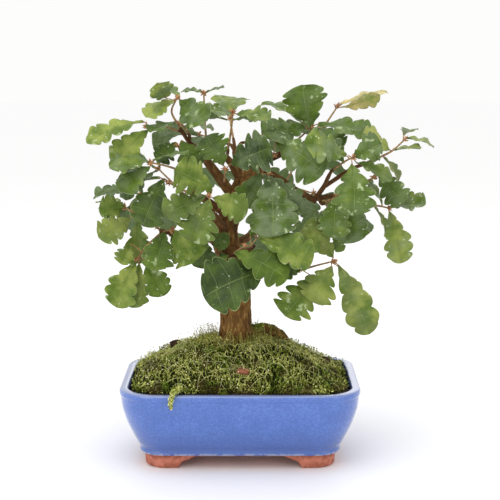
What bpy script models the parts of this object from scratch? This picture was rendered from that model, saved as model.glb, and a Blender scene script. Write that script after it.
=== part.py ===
"""Pedunculate oak bonsai in a glazed rectangular pot, built as it would come apart on a bench.

The pot is one fired piece with its four feet.  Plastic mesh, held by wire staples, covers the two
drain holes.  Soil fills the pot, moss covers the soil, and loose lumps and a bark chip lie on it.
The tree's old wood (roots, trunk, limbs) is one grown piece.  Every leafy shoot of this year is a
piece of its own: a twig with its stalks and lobed leaves.

All design values are millimetres in the pot's frame: x to the right, y to the back, z up, with the
origin on the ground under the pot's middle.  The mesh data is metres.
"""
import math

import bpy
from mathutils import Vector
from mathutils.bvhtree import BVHTree

MM = 0.001
GAP = 0.3

# ---- pot ----
POT_LENGTH = 260.0
POT_WIDTH = 187.0
POT_HEIGHT = 87.0
CORNER_RADIUS = 42.0
CORNER_STEPS = 5
FOOT_HEIGHT = 16.0
DRAIN_X = 55.0
DRAIN_RADIUS = 9.0
# each row: how far the ring lies inside the rim's outline, and its height
POT_OUTSIDE = [
    (22.7, 15.0), (20.9, 16.2), (20.9, 20.0), (18.2, 27.0), (13.8, 36.0), (9.2, 46.0),
    (5.6, 56.0), (2.8, 66.0), (1.4, 79.0), (0.0, 81.0), (0.0, 85.5), (1.5, POT_HEIGHT),
]
POT_INSIDE = [
    (8.0, POT_HEIGHT), (9.5, 85.5), (10.5, 79.0), (12.0, 66.0), (17.0, 45.0), (23.5, 30.0), (30.0, 24.0),
]
POT_FLOOR = 24.0
FOOT_OUTER = 26.0
FOOT_INNER = 41.0
FOOT_ROOTED = 19.0
# half the gap between two feet, low down and high up, along the pot and across it
FOOT_GAP_ALONG = (66.0, 41.0)
FOOT_GAP_ACROSS = (34.0, 20.0)
# the cut of the gap from the ground up: (share of the way from its low to its high width, z)
FOOT_CUT = [(0.0, -5.0), (0.0, 3.0), (0.15, 6.0), (0.75, 10.0), (1.0, FOOT_HEIGHT + 2.0)]

# ---- drain mesh and its staples ----
SQUARE = [(-1, -1), (1, -1), (1, 1), (-1, 1)]
MESH_SIZE = 34.0
MESH_CELLS = 4
MESH_BAR = 1.2
STAPLE_RADIUS = 0.75
STAPLE_HALF = 5.0
STAPLE_LEG = 17.0
STAPLE_Y = 4.0

# ---- soil and moss ----
SOIL_EDGE = 82.0
MOUND_RISE = 43.0
MOUND_POWER = 2.2
MOUND_INSET = 11.0
TREE_X = -5.0
RING_LEVELS = [0.92, 0.78, 0.6, 0.4]
MOSS_THICKNESS = 5.0
MOSS_EDGE = 2.5
MOSS_LEVELS = [0.78, 0.6, 0.4]
MOSS_REACH = 0.925
MOSS_LEFT_GAP = 0.05
CUSHION_HEIGHT = 0.9
FLAT_LEVEL = 0.16
SOIL_INSET = 1.0
SOIL_SEAT = 0.5
# how far a lump's middle stands above the moss, as a share of its half height
LUMP_RISE = 0.45
# name, place, half sizes, and what it is
LUMPS = [
    ("soil_lump_left", -72, 12, (7, 6, 5), "soil"),
    ("soil_lump_right", 94, 4, (6, 6, 4.5), "soil"),
    ("soil_lump_back", 60, 46, (6, 5, 4.5), "soil"),
    ("bark_chip", 4, -62, (7, 5, 3.5), "bark"),
]
TUFT = [
    (-62, -80, 93, 4), (-66, -88, 92.5, 3.8), (-70, -95.5, 90.8, 3.5),
    (-72, -98.8, 82, 3.2), (-72, -98.2, 75, 1.8),
]

# ---- wood: routes of (x, y, z, radius) ----
TRUNK = [
    (-5, -4, 73, 17), (-5, -4, 105, 19), (-5, -4, 133, 18), (-5, -4, 155, 16.5), (-7, -4, 190, 15.5),
    (-14, -2, 227, 13.5), (-15, -1, 253, 11.5), (-5, 0, 283, 9), (2, -2, 307, 6.5),
]
ROOTS = {
    "root_right_arch": [
        (-2, 2, 129, 8), (20, 11, 136, 6.5), (38, 17, 132, 6), (52, 22, 118, 5.5), (60, 24, 93, 3),
    ],
    "root_left": [(-8, -6, 127, 10), (-34, -12, 111, 8), (-62, -18, 83, 5), (-80, -22, 61, 2.5)],
    "root_right": [(0, -8, 123, 9), (28, -18, 107, 7), (58, -26, 81, 4.5), (78, -30, 59, 2.5)],
    "root_front": [(-6, -10, 125, 9), (-12, -34, 109, 7), (-18, -52, 85, 4.5), (-22, -60, 59, 2.5)],
    "root_back": [(-6, 2, 125, 9), (-16, 26, 109, 7), (-24, 44, 85, 4.5), (-30, 52, 59, 2.5)],
}
LIMBS = {
    "limb_left_low": [(-14, -2, 243, 6.5), (-50, -16, 245, 5), (-76, -24, 250, 3.4)],
    "limb_left_face": [(-14, -1, 267, 5), (-40, -30, 289, 3.8), (-50, -37, 295, 2.8)],
    "limb_left_top": [(-6, 0, 285, 6), (-36, -8, 327, 4.5), (-56, -12, 348, 2.6)],
    "limb_crown": [(2, -2, 303, 5.5), (-14, -4, 329, 3.6), (-28, -4, 333, 2.4)],
    "limb_right": [(2, -2, 305, 6), (30, -14, 313, 4.5), (60, -26, 297, 3.8), (82, -24, 285, 3)],
    "limb_right_elbow": [(80, -24, 286, 2.8), (90, -27, 301, 2.6), (94, -31, 311, 2.2)],
    "limb_far_right": [(78, -24, 287, 2.6), (104, -12, 289, 2.4), (124, -8, 283, 1.8)],
    "limb_right_tip": [(89, -27, 300, 2.4), (118, -19, 318, 2.2), (139, -18, 326, 1.7)],
    "limb_top": [(2, -2, 307, 6), (24, 6, 323, 4.6), (44, 6, 333, 3), (74, 8, 343, 2)],
    "limb_low_right": [(-10, -4, 219, 6), (26, -24, 221, 4.4), (51, -34, 213, 3)],
    "limb_front_low": [(-12, -4, 227, 5), (4, -34, 231, 4.2), (10, -54, 236, 2.8)],
    "limb_front": [(-14, -2, 251, 5.5), (-22, -32, 263, 4.2), (-27, -46, 273, 3)],
    "limb_back_left": [(-14, 0, 245, 5.5), (-40, 34, 263, 4.2), (-54, 50, 273, 3.2)],
    "limb_back_right": [(-6, 1, 277, 5.5), (28, 38, 281, 4.4), (48, 56, 286, 3.2)],
    "limb_back_top": [(0, 0, 299, 5), (-4, 26, 325, 4), (-6, 38, 333, 3)],
    "limb_back_low": [(-12, 0, 231, 5), (8, 36, 237, 4), (13, 54, 241, 3)],
}

# ---- the way a leaf's upper side faces ----
FRONT = (0.0, -1.0, 0.15)
FRONT_UP = (0.0, -0.8, 0.6)
FRONT_DOWN = (0.1, -1.0, 0.45)
DOWN_FRONT = (0.0, -0.7, -0.7)
TOP = (0.0, -0.15, 1.0)
TOP_FRONT = (0.0, -0.5, 0.85)
RIGHT = (0.9, -0.45, 0.3)

LEAF_THICKNESS = 0.9
LEAF_ARCH = 0.06
STALK_RADIUS = 0.8
# along the blade, and half its width there, both as shares
LEAF_OUTLINE = [
    (0.0, 0.07), (0.24, 0.52), (0.36, 0.36), (0.5, 0.9), (0.62, 0.6), (0.77, 1.0), (0.89, 0.62), (1.0, 0.16),
]
# shifts of a leaf's tip, in depth and in height, tried in turn until the leaf touches nothing
TIP_SHIFTS = [(0, 0)] + [(side * 6 * step, -2 * step) for step in range(1, 9) for side in (-1, 1)]

# each shoot: the twig's points, then its leaves as (blade's foot, tip, width, facing)
SHOOTS = {
    "shoot_top_left": [[(-66, -18, 360), (-82, -28, 366), (-98, -34, 366)], [
        ((-102, -34, 371), (-160, -54, 349), 34, TOP_FRONT),
        ((-97, -34, 362), (-133, -50, 327), 30, FRONT),
    ]],
    "shoot_left_crest": [[(-64, -14, 363), (-73, -18, 380), (-68, -18, 394)], [
        ((-79, -18, 395), (-86, -44, 411), 26, FRONT),
        ((-64, -18, 396), (-88, 16, 405), 24, TOP),
        ((-70, -20, 393), (-99, -44, 375), 26, TOP_FRONT),
        ((-64, -20, 394), (-35, -54, 372), 34, FRONT),
    ]],
    "shoot_left_inner": [[(-56, -14, 357), (-62, -24, 368)], [
        ((-68, -26, 370), (-93, -44, 363), 28, TOP),
        ((-60, -24, 370), (-28, -14, 363), 28, TOP),
    ]],
    "shoot_crown_bud": [[(-36, -4, 339), (-38, -4, 371), (-39, -4, 399)], [
        ((-40, -4, 401), (-63, 2, 402), 24, TOP),
        ((-37, -4, 401), (-18, -12, 406), 22, TOP),
    ]],
    "shoot_crown_middle": [[(-13, -6, 339), (-9, -8, 365), (-8, -10, 378)], [
        ((-9, -10, 379), (-32, -24, 382), 30, TOP_FRONT),
        ((-6, -10, 382), (0, 16, 393), 24, TOP),
        ((-4, -10, 378), (33, -20, 373), 30, TOP_FRONT),
    ]],
    "shoot_left_face": [[(-57, -44, 318), (-76, -50, 325), (-92, -54, 329)], [
        ((-94, -54, 331), (-135, -64, 327), 32, TOP_FRONT),
        ((-91, -54, 332), (-53, -70, 340), 24, TOP),
        ((-94, -56, 326), (-125, -70, 302), 32, TOP_FRONT),
    ]],
    "shoot_left_inner_face": [[(-54, -24, 329), (-66, -34, 345)], [
        ((-68, -34, 349), (-88, -48, 331), 24, FRONT),
        ((-62, -32, 351), (-46, -40, 322), 30, FRONT),
    ]],
    "shoot_left_side": [[(-57, -40, 297), (-74, -48, 307)], [
        ((-80, -50, 312), (-102, -62, 263), 38, FRONT),
        ((-84, -50, 313), (-156, -34, 287), 26, TOP),
    ]],
    "shoot_front_face": [[(-30, -54, 282), (-32, -70, 295)], [
        ((-29, -70, 300), (-67, -84, 324), 46, FRONT_UP),
        ((-35, -72, 297), (-78, -88, 279), 32, FRONT_UP),
        ((-28, -70, 294), (7, -86, 279), 30, FRONT),
        ((-31, -74, 293), (-49, -88, 250), 42, FRONT),
    ]],
    "shoot_left_low_face": [[(-58, -28, 248), (-71, -44, 256)], [
        ((-70, -46, 257), (-46, -60, 225), 42, FRONT),
        ((-81, -44, 255), (-91, -60, 219), 34, FRONT),
        ((-73, -40, 253), (-69, -34, 220), 10, FRONT),
    ]],
    "shoot_middle_low_face": [[(-30, -19, 238), (-37, -27, 244)], [
        ((-39, -28, 245), (-42, -38, 214), 30, FRONT),
        ((-32, -24, 247), (-13, -40, 239), 20, FRONT),
    ]],
    "shoot_far_left": [[(-86, -26, 254), (-108, -26, 269), (-123, -26, 278)], [
        ((-123, -26, 278), (-150, -40, 280), 28, FRONT),
        ((-118, -28, 267), (-151, -44, 252), 30, FRONT),
        ((-110, -26, 264), (-107, -34, 220), 32, FRONT),
        ((-125, -24, 280), (-153, 6, 281), 24, TOP),
    ]],
    "shoot_left_low": [[(-86, -26, 250), (-101, -34, 237), (-109, -40, 226)], [
        ((-116, -38, 240), (-127, -52, 221), 22, FRONT),
        ((-111, -42, 222), (-131, -58, 175), 34, FRONT),
        ((-108, -40, 220), (-115, -44, 172), 28, FRONT),
        ((-101, -38, 221), (-81, -52, 187), 28, FRONT),
    ]],
    "shoot_centre_face": [[(-17, -28, 306), (-15, -44, 321)], [
        ((-10, -48, 327), (34, -64, 346), 44, FRONT),
        ((-17, -44, 325), (-35, -54, 357), 34, FRONT),
    ]],
    "shoot_centre_right": [[(28, -24, 323), (36, -40, 335)], [
        ((38, -44, 350), (88, -66, 319), 48, FRONT),
        ((24, -34, 317), (2, -38, 281), 28, FRONT),
    ]],
    "shoot_top_right": [[(48, 0, 338), (65, -4, 352), (76, -8, 363)], [
        ((77, -10, 363), (67, -18, 409), 46, FRONT),
        ((68, -8, 368), (24, 6, 390), 26, TOP),
        ((71, -12, 363), (22, -44, 361), 34, FRONT_UP),
        ((84, -10, 367), (142, -28, 356), 34, TOP_FRONT),
        ((78, -12, 359), (32, -10, 348), 24, TOP),
        ((86, -12, 363), (110, -48, 350), 30, FRONT),
    ]],
    "shoot_top_far_right": [[(83, 6, 351), (96, 6, 370), (105, 4, 384)], [
        ((110, 4, 384), (151, -2, 399), 22, DOWN_FRONT),
        ((109, 4, 388), (162, 26, 400), 24, TOP),
    ]],
    "shoot_right_knuckle": [[(100, -34, 320), (110, -44, 329), (118, -50, 334)], [
        ((112, -50, 336), (69, -70, 352), 38, FRONT_UP),
        ((110, -48, 328), (83, -24, 361), 30, FRONT_UP),
        ((118, -54, 328), (119, -78, 276), 44, FRONT),
        ((120, -50, 335), (148, -56, 350), 36, FRONT_UP),
        ((123, -48, 329), (161, -48, 310), 26, TOP_FRONT),
    ]],
    "shoot_right_face": [[(91, -33, 285), (102, -39, 291)], [
        ((103, -42, 293), (100, -54, 249), 34, FRONT),
        ((111, -38, 290), (121, -48, 243), 40, FRONT),
        ((101, -34, 253), (109, -34, 231), 14, FRONT),
    ]],
    "shoot_far_right_tip": [[(149, -18, 331), (164, -18, 339), (176, -18, 350)], [
        ((178, -18, 353), (209, -18, 344), 26, TOP),
        ((176, -16, 355), (188, 16, 360), 18, TOP),
        ((166, -18, 340), (192, -34, 342), 22, TOP),
        ((155, -18, 332), (173, -14, 305), 20, RIGHT),
        ((161, -20, 340), (130, -34, 360), 30, FRONT_UP),
    ]],
    "shoot_right_edge": [[(132, -10, 302), (143, -16, 309)], [
        ((149, -18, 316), (174, -28, 285), 30, FRONT),
    ]],
    "shoot_far_right": [[(134, -4, 278), (150, -8, 278), (161, -10, 276)], [
        ((164, -10, 278), (200, -24, 284), 32, TOP_FRONT),
        ((155, -8, 280), (137, -6, 306), 18, RIGHT),
        ((146, -6, 278), (160, -6, 244), 16, RIGHT),
        ((162, -12, 273), (175, -24, 217), 30, FRONT),
    ]],
    "shoot_centre_hanging": [[(24, -26, 312), (30, -42, 316)], [
        ((30, -48, 315), (34, -72, 252), 52, FRONT),
        ((24, -44, 316), (66, -44, 274), 30, FRONT),
    ]],
    "shoot_front_low": [[(13, -64, 242), (7, -74, 244)], [
        ((-6, -76, 237), (50, -90, 213), 40, FRONT_UP),
        ((19, -70, 252), (76, -76, 227), 40, FRONT_UP),
        ((11, -64, 251), (32, -24, 275), 30, FRONT_UP),
    ]],
    "shoot_low_right": [[(61, -34, 210), (82, -38, 217), (99, -42, 222)], [
        ((100, -44, 227), (70, -54, 266), 36, FRONT_UP),
        ((98, -48, 218), (76, -64, 182), 40, FRONT),
        ((105, -44, 219), (139, -58, 146), 34, FRONT),
        ((110, -38, 212), (143, -24, 160), 20, RIGHT),
    ]],
    "shoot_low_middle": [[(52, -38, 221), (62, -44, 215)], [
        ((68, -46, 220), (42, -64, 209), 22, TOP_FRONT),
        ((77, -48, 207), (47, -66, 168), 42, FRONT),
    ]],
    "shoot_trunk_front": [[(17, -44, 222), (30, -64, 220)], [
        ((30, -70, 218), (-37, -88, 193), 58, FRONT_DOWN),
    ]],
    "shoot_trunk_sprout": [[(-20, -22, 218), (-22, -30, 226)], [
        ((-23, -32, 224), (-31, -40, 209), 14, FRONT),
        ((-20, -30, 230), (-17, -48, 223), 12, FRONT),
    ]],
}

# shoots of the crown's far side: the twig's two ends and the leaves' length, three leaves to each
CROWN_CENTRE = (0, -4, 285)
FAN_ANGLE = 62.0
FAN_DROOP = 0.35
FAN_WIDTH = 0.6
FAN_STALK = 3.0
BACK_SHOOTS = {
    "shoot_back_left_low": [(-62, 58, 277), (-90, 78, 267), 56],
    "shoot_back_left_high": [(-64, 60, 283), (-94, 70, 311), 58],
    "shoot_back_left_side": [(-63, 46, 269), (-110, 46, 285), 52],
    "shoot_back_low": [(16, 68, 246), (18, 92, 233), 60],
    "shoot_back_low_right": [(22, 61, 243), (52, 82, 237), 56],
    "shoot_back_right": [(60, 68, 290), (84, 88, 281), 58],
    "shoot_back_right_high": [(52, 64, 297), (68, 76, 325), 54],
    "shoot_back_right_side": [(60, 60, 287), (104, 54, 273), 52],
    "shoot_back_top": [(-8, 54, 347), (-12, 72, 367), 50],
    "shoot_back_top_left": [(-14, 46, 341), (-46, 58, 351), 54],
    "shoot_back_top_right": [(4, 46, 343), (36, 58, 355), 54],
    "shoot_back_middle": [(2, 36, 282), (4, 90, 301), 60],
}
TWIG_RADIUS = (1.6, 1.1)
SPUR_RADIUS = (2.0, 1.6)
SPUR_END = 4.0


def material(name, colour, roughness, metallic=0.0):
    """Make a Principled material with one colour."""
    result = bpy.data.materials.new(name)
    result.use_nodes = True
    shader = result.node_tree.nodes["Principled BSDF"]
    shader.inputs["Base Color"].default_value = (*colour, 1.0)
    shader.inputs["Roughness"].default_value = roughness
    shader.inputs["Metallic"].default_value = metallic
    return result


def new_object(name, points, faces, origin=(0, 0, 0)):
    """Make an object from points in millimetres, with its origin at a given point."""
    origin = Vector(origin)
    mesh = bpy.data.meshes.new(name)
    mesh.from_pydata([(Vector(point) - origin) * MM for point in points], [], faces)
    mesh.validate()
    result = bpy.data.objects.new(name, mesh)
    result.location = origin * MM
    bpy.context.scene.collection.objects.link(result)
    return result


def apply_booleans(target, steps):
    """Run (operation, object) steps on the target in order, keep the outcome, remove the tools."""
    for operation, tool in steps:
        modifier = target.modifiers.new(operation.title(), "BOOLEAN")
        modifier.operation = operation
        modifier.object = tool
    bpy.context.view_layer.update()
    solved = target.evaluated_get(bpy.context.evaluated_depsgraph_get())
    target.data = bpy.data.meshes.new_from_object(solved)
    target.modifiers.clear()
    for _, tool in steps:
        bpy.data.objects.remove(tool)


def finish(target, surface, smooth_angle=None):
    """Give a piece its material, its shading and its place under the root."""
    target.data.materials.clear()
    target.data.materials.append(surface)
    if smooth_angle:
        target.data.shade_smooth()
        target.data.set_sharp_from_angle(angle=math.radians(smooth_angle))
    target.parent = root


def loft(rings, round_again=False):
    """Join rings of equal length into a closed skin, with flat ends or round again to the first."""
    count = len(rings[0])
    points = [point for ring in rings for point in ring]
    faces = []
    for level in range(len(rings) if round_again else len(rings) - 1):
        low, high = level * count, (level + 1) % len(rings) * count
        for step in range(count):
            after = (step + 1) % count
            faces.append((low + step, low + after, high + after))
            faces.append((low + step, high + after, high + step))
    if not round_again:
        faces.append(tuple(reversed(range(count))))
        faces.append(tuple(range(low + count, low + 2 * count)))
    return points, faces


def outline(inset, z):
    """The pot's rounded rectangle, drawn in by an inset: four corner arcs, anticlockwise."""
    half_x = POT_LENGTH / 2 - inset
    half_y = POT_WIDTH / 2 - inset
    radius = max(CORNER_RADIUS - 0.7 * inset, 8.0)
    ring = []
    for corner, (sign_x, sign_y) in enumerate([(1, 1), (-1, 1), (-1, -1), (1, -1)]):
        for step in range(CORNER_STEPS + 1):
            angle = math.radians(90 * (corner + step / CORNER_STEPS))
            x = sign_x * (half_x - radius) + radius * math.cos(angle)
            y = sign_y * (half_y - radius) + radius * math.sin(angle)
            ring.append((x, y, z))
    return ring


def tube(route, sides=6, grow=0.0):
    """Skin a route of (x, y, z, radius) with rings of a few sides and flat ends."""
    centres = [Vector(point[:3]) for point in route]
    ends = ((centres[1] - centres[0]).normalized(), (centres[-1] - centres[-2]).normalized())
    centres[0] = centres[0] - ends[0] * grow
    centres[-1] = centres[-1] + ends[1] * grow
    along = [(after - before).normalized() for before, after in zip(centres, centres[1:])]
    headings = [along[0]] + [(one + two).normalized() for one, two in zip(along, along[1:])] + [along[-1]]
    side = headings[0].orthogonal().normalized()
    rings = []
    for centre, heading, point in zip(centres, headings, route):
        side = (side - heading * side.dot(heading)).normalized()
        other = heading.cross(side)
        radius = point[3] + grow
        turns = [2 * math.pi * step / sides for step in range(sides)]
        spokes = [side * math.cos(turn) + other * math.sin(turn) for turn in turns]
        rings.append([centre + spoke * radius for spoke in spokes])
    return loft(rings)


def with_radii(points, start, end):
    """Add radii to a route's points, from one at its start to one at its end."""
    last = len(points) - 1
    return [(*point, start + (end - start) * index / last) for index, point in enumerate(points)]


def nearest_on(routes, point):
    """The point on any of the routes that is nearest to a given one, a little inside the routes' ends."""
    point = Vector(point)
    found = []
    for route in routes:
        for before, after in zip(route, route[1:]):
            start, end = Vector(before[:3]), Vector(after[:3])
            span = end - start
            share = min(max((point - start).dot(span) / span.length_squared, 0.05), 0.93)
            found.append(start + span * share)
    return min(found, key=lambda place: (place - point).length)


# %% pot

def prism(half_low, half_high, across):
    """A cutter for the gap between two feet, wide at the ground and narrower higher up."""
    right = [(half_low + (half_high - half_low) * share, z) for share, z in FOOT_CUT]
    profile = right + [(-spread, z) for spread, z in reversed(right)]
    near, far = -POT_LENGTH, POT_LENGTH
    if across:
        return new_object("foot_gap", *loft([[(x, spread, z) for spread, z in profile] for x in (near, far)]))
    return new_object("foot_gap", *loft([[(spread, y, z) for spread, z in profile] for y in (far, near)]))


def build_pot():
    """Fired bowl with a rolled lip, four cut feet and two drain holes, all one piece."""
    walls = [outline(inset, z) for inset, z in POT_OUTSIDE + POT_INSIDE]
    pot = new_object("pot", *loft(walls))
    outer = [outline(FOOT_OUTER + 3.0, 0.0), outline(FOOT_OUTER + 2.0, 1.0), outline(FOOT_OUTER, FOOT_ROOTED)]
    inner = [outline(FOOT_INNER, FOOT_ROOTED), outline(FOOT_INNER, 0.0)]
    feet = new_object("feet", *loft(outer + inner, round_again=True))
    cuts = [("DIFFERENCE", prism(*FOOT_GAP_ALONG, False)), ("DIFFERENCE", prism(*FOOT_GAP_ACROSS, True))]
    apply_booleans(feet, cuts)
    holes = []
    for side in (-1, 1):
        shaft = [(side * DRAIN_X, 0, 5, DRAIN_RADIUS), (side * DRAIN_X, 0, 40, DRAIN_RADIUS)]
        holes.append(("DIFFERENCE", new_object("drain_hole", *tube(shaft, sides=16))))
    apply_booleans(pot, [("UNION", feet)] + holes)
    finish(pot, material("glazed_ceramic", (0.10, 0.20, 0.55), 0.15), 35)
    return pot


# %% drain mesh and staples

def build_drain_cover(side_name, x):
    """A square plastic lattice on the pot's floor over the hole, and the wire staple that holds it."""
    cell = MESH_SIZE / MESH_CELLS
    low, high = POT_FLOOR + GAP, POT_FLOOR + GAP + MESH_BAR
    edge = MESH_SIZE / 2 + MESH_BAR / 2
    plate = loft([[(x + sx * edge, sy * edge, z) for sx, sy in SQUARE] for z in (low, high)])
    lattice = new_object(f"drain_mesh_{side_name}", *plate)
    windows = []
    half = (cell - MESH_BAR) / 2
    for column in range(MESH_CELLS):
        for row in range(MESH_CELLS):
            centre_x = x + (column + 0.5) * cell - MESH_SIZE / 2
            centre_y = (row + 0.5) * cell - MESH_SIZE / 2
            corners = [(centre_x + sx * half, centre_y + sy * half) for sx, sy in SQUARE]
            hole = loft([[(*corner, z) for corner in corners] for z in (low - 1, high + 1)])
            windows.append(("DIFFERENCE", new_object("window", *hole)))
    apply_booleans(lattice, windows)
    finish(lattice, material("black_plastic", (0.02, 0.02, 0.02), 0.5))

    over = high + GAP + STAPLE_RADIUS
    under = POT_OUTSIDE[0][1] - GAP - STAPLE_RADIUS
    legs = [
        (STAPLE_LEG, under), (STAPLE_HALF + 1, under), (STAPLE_HALF, under + 1), (STAPLE_HALF, over),
    ]
    half_route = [(x - across, STAPLE_Y, z, STAPLE_RADIUS) for across, z in legs]
    mirrored = [(2 * x - px, py, pz, radius) for px, py, pz, radius in reversed(half_route)]
    staple = new_object(f"mesh_staple_{side_name}", *tube(half_route + mirrored, sides=6))
    finish(staple, material("aluminium_wire", (0.55, 0.55, 0.57), 0.35, 1.0), 50)


# %% soil and moss

def mound(x, y):
    """Height of the soil: a low dome inside the walls, highest at the tree."""
    across = (x - TREE_X) / (POT_LENGTH / 2 - MOUND_INSET)
    deep = y / (POT_WIDTH / 2 - MOUND_INSET)
    share = min((abs(across) ** 3 + abs(deep) ** 3) ** (1 / 3), 1.0)
    return SOIL_EDGE + MOUND_RISE * (1 - share ** MOUND_POWER)


def drawn_in(ring, share):
    """A ring scaled in plan about the tree."""
    return [(TREE_X + (x - TREE_X) * share, y * share) for x, y, _ in ring]


def soil_rings():
    """The pot's inside, drawn in a little, and the dome's rings above its edge."""
    rings = [outline(inset + SOIL_INSET, z + GAP) for inset, z in reversed(POT_INSIDE[3:])]
    edge = outline(POT_INSIDE[2][0] + SOIL_INSET, SOIL_EDGE)
    dome = [[(x, y, mound(x, y)) for x, y in drawn_in(edge, level)] for level in RING_LEVELS]
    flat_top = [(x, y, SOIL_EDGE + MOUND_RISE) for x, y in drawn_in(edge, FLAT_LEVEL)]
    return rings + [edge] + dome + [flat_top]


def build_soil(wood_cutters):
    """Soil that fills the pot up to a dome, hollowed for the roots and over the drain covers."""
    soil = new_object("soil", *loft(soil_rings()))
    steps = [("DIFFERENCE", cutter) for cutter in wood_cutters]
    reach = MESH_SIZE / 2 + 2
    for side in (-1, 1):
        centre = side * DRAIN_X
        levels = (POT_FLOOR - 5, POT_FLOOR + 5)
        box = loft([[(centre + sx * reach, sy * reach, z) for sx, sy in SQUARE] for z in levels])
        steps.append(("DIFFERENCE", new_object("drain_recess", *box)))
    apply_booleans(soil, steps)
    finish(soil, material("potting_soil", (0.06, 0.035, 0.02), 0.95), 40)


def moss_edge(angle):
    """How far out the moss reaches, as a share of the soil: less on the left, with a wavy edge."""
    waves = 0.012 * math.sin(5 * angle + 0.6) + 0.008 * math.sin(9 * angle)
    return MOSS_REACH - MOSS_LEFT_GAP * max(0.0, -math.cos(angle)) ** 2 + waves


def moss_top(x, y):
    """Height of the moss: the soil's dome with cushions on it."""
    cushions = math.sin(x / 11 + 0.7) * math.sin(y / 9) + 0.6 * math.sin(x / 5.5 - y / 7)
    return mound(x, y) + MOSS_THICKNESS + CUSHION_HEIGHT * cushions


def build_moss(wood_cutters, lump_cutters):
    """A carpet of moss over the dome, cut out round the soil, the wood and the lumps on it."""
    edge = outline(POT_INSIDE[2][0] + SOIL_INSET, SOIL_EDGE)
    shares = [moss_edge(math.atan2(y, x - TREE_X)) for x, y, _ in edge]
    rim = [(TREE_X + (x - TREE_X) * share, y * share) for (x, y, _), share in zip(edge, shares)]
    rings = [[(x, y, SOIL_EDGE) for x, y in rim], [(x, y, mound(x, y) + MOSS_EDGE) for x, y in rim]]
    rings += [[(x, y, moss_top(x, y)) for x, y in drawn_in(edge, level)] for level in MOSS_LEVELS]
    rings.append([(x, y, SOIL_EDGE + MOUND_RISE + MOSS_THICKNESS) for x, y in drawn_in(edge, FLAT_LEVEL)])
    moss = new_object("moss", *loft(rings))
    seat = new_object("soil_seat", *loft(soil_rings()))
    seat.location.z = SOIL_SEAT * MM
    apply_booleans(moss, [("DIFFERENCE", cutter) for cutter in [seat] + wood_cutters + lump_cutters])
    finish(moss, material("moss", (0.16, 0.22, 0.05), 0.9), 50)


def build_lumps():
    """Loose soil lumps and a bark chip half sunk in the moss; gives back the cutters that seat them."""
    soil_surface = material("soil_lump", (0.09, 0.055, 0.03), 0.95)
    chip_surface = material("bark_chip", (0.25, 0.10, 0.06), 0.85)
    cutters = []
    for name, x, y, size, surface in LUMPS:
        centre = Vector((x, y, moss_top(x, y) + LUMP_RISE * size[2]))
        for grow, label in ((0.0, name), (GAP, "seat")):
            bpy.ops.mesh.primitive_ico_sphere_add(subdivisions=1, radius=MM, location=centre * MM)
            piece = bpy.context.object
            piece.name = label
            piece.data.name = label
            for vertex in piece.data.vertices:
                stretched = [coordinate * (half + grow) for coordinate, half in zip(vertex.co, size)]
                vertex.co = stretched
            if label == "seat":
                cutters.append(piece)
            else:
                finish(piece, soil_surface if surface == "soil" else chip_surface, 30)
    return cutters


def build_tuft():
    """The tuft of moss that hangs over the front rim."""
    tuft = new_object("moss_tuft", *tube(TUFT, sides=8))
    finish(tuft, material("moss_tuft", (0.2, 0.26, 0.07), 0.9), 50)


# %% wood

def wood_tubes(grow=0.0):
    """The trunk and the roots, as separate tubes that cross each other."""
    tubes = [new_object("trunk", *tube(TRUNK, sides=10, grow=grow))]
    tubes += [new_object(name, *tube(route, sides=6, grow=grow)) for name, route in ROOTS.items()]
    return tubes


def spur(start, heading):
    """The twig of old wood from the nearest limb to the foot of a shoot."""
    joint = nearest_on(list(LIMBS.values()) + [TRUNK], start)
    foot = Vector(start) - heading * GAP
    route = [joint, foot - heading * SPUR_END, foot]
    return with_radii([tuple(point) for point in route], *SPUR_RADIUS)


def build_wood(shoots):
    """Roots, trunk, limbs and spurs, grown as one piece."""
    trunk, *rest = wood_tubes()
    rest += [new_object(name, *tube(route, sides=6)) for name, route in LIMBS.items()]
    for name, (points, _) in shoots.items():
        heading = (Vector(points[1]) - Vector(points[0])).normalized()
        rest.append(new_object(name + "_spur", *tube(spur(points[0], heading), sides=4)))
    apply_booleans(trunk, [("UNION", piece) for piece in rest])
    finish(trunk, material("oak_bark", (0.20, 0.14, 0.08), 0.85), 50)
    return trunk


# %% shoots

def fan_leaves(points, length):
    """Three leaves spread about a twig's tip, facing out and up, as rows like those of SHOOTS."""
    tip = Vector(points[-1])
    heading = (tip - Vector(points[0])).normalized()
    facing = ((tip - Vector(CROWN_CENTRE)).normalized() + Vector((0, 0, 0.7))).normalized()
    side = heading.cross(facing).normalized()
    rows = []
    for turn in (-FAN_ANGLE, 0.0, FAN_ANGLE):
        angle = math.radians(turn)
        along = heading * math.cos(angle) + side * math.sin(angle) - Vector((0, 0, FAN_DROOP))
        along.normalize()
        rows.append((tip + along * FAN_STALK, tip + along * (length + FAN_STALK), length * FAN_WIDTH, facing))
    return rows


def blade(foot, tip, width, facing, thickness):
    """A lobed plate from foot to tip, arched toward the side that it faces."""
    foot, tip = Vector(foot), Vector(tip)
    along = (tip - foot).normalized()
    facing = Vector(facing)
    normal = (facing - along * facing.dot(along)).normalized()
    across = along.cross(normal)
    length = (tip - foot).length
    rings = []
    for share, spread in LEAF_OUTLINE:
        rise = length * LEAF_ARCH * 4 * share * (1 - share)
        middle = foot + along * length * share + normal * rise
        reach = across * spread * width / 2
        half = normal * thickness / 2
        left, right = middle - reach, middle + reach
        rings.append([left - half, left + half, right + half, right - half])
    return loft(rings)


def shifted(tip, shift):
    """A leaf's tip moved in depth and height."""
    return Vector(tip) + Vector((0, shift[0], shift[1]))


def bvh(points, faces):
    """A search tree of a skin, in millimetres."""
    return BVHTree.FromPolygons([Vector(point) for point in points], faces)


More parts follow.
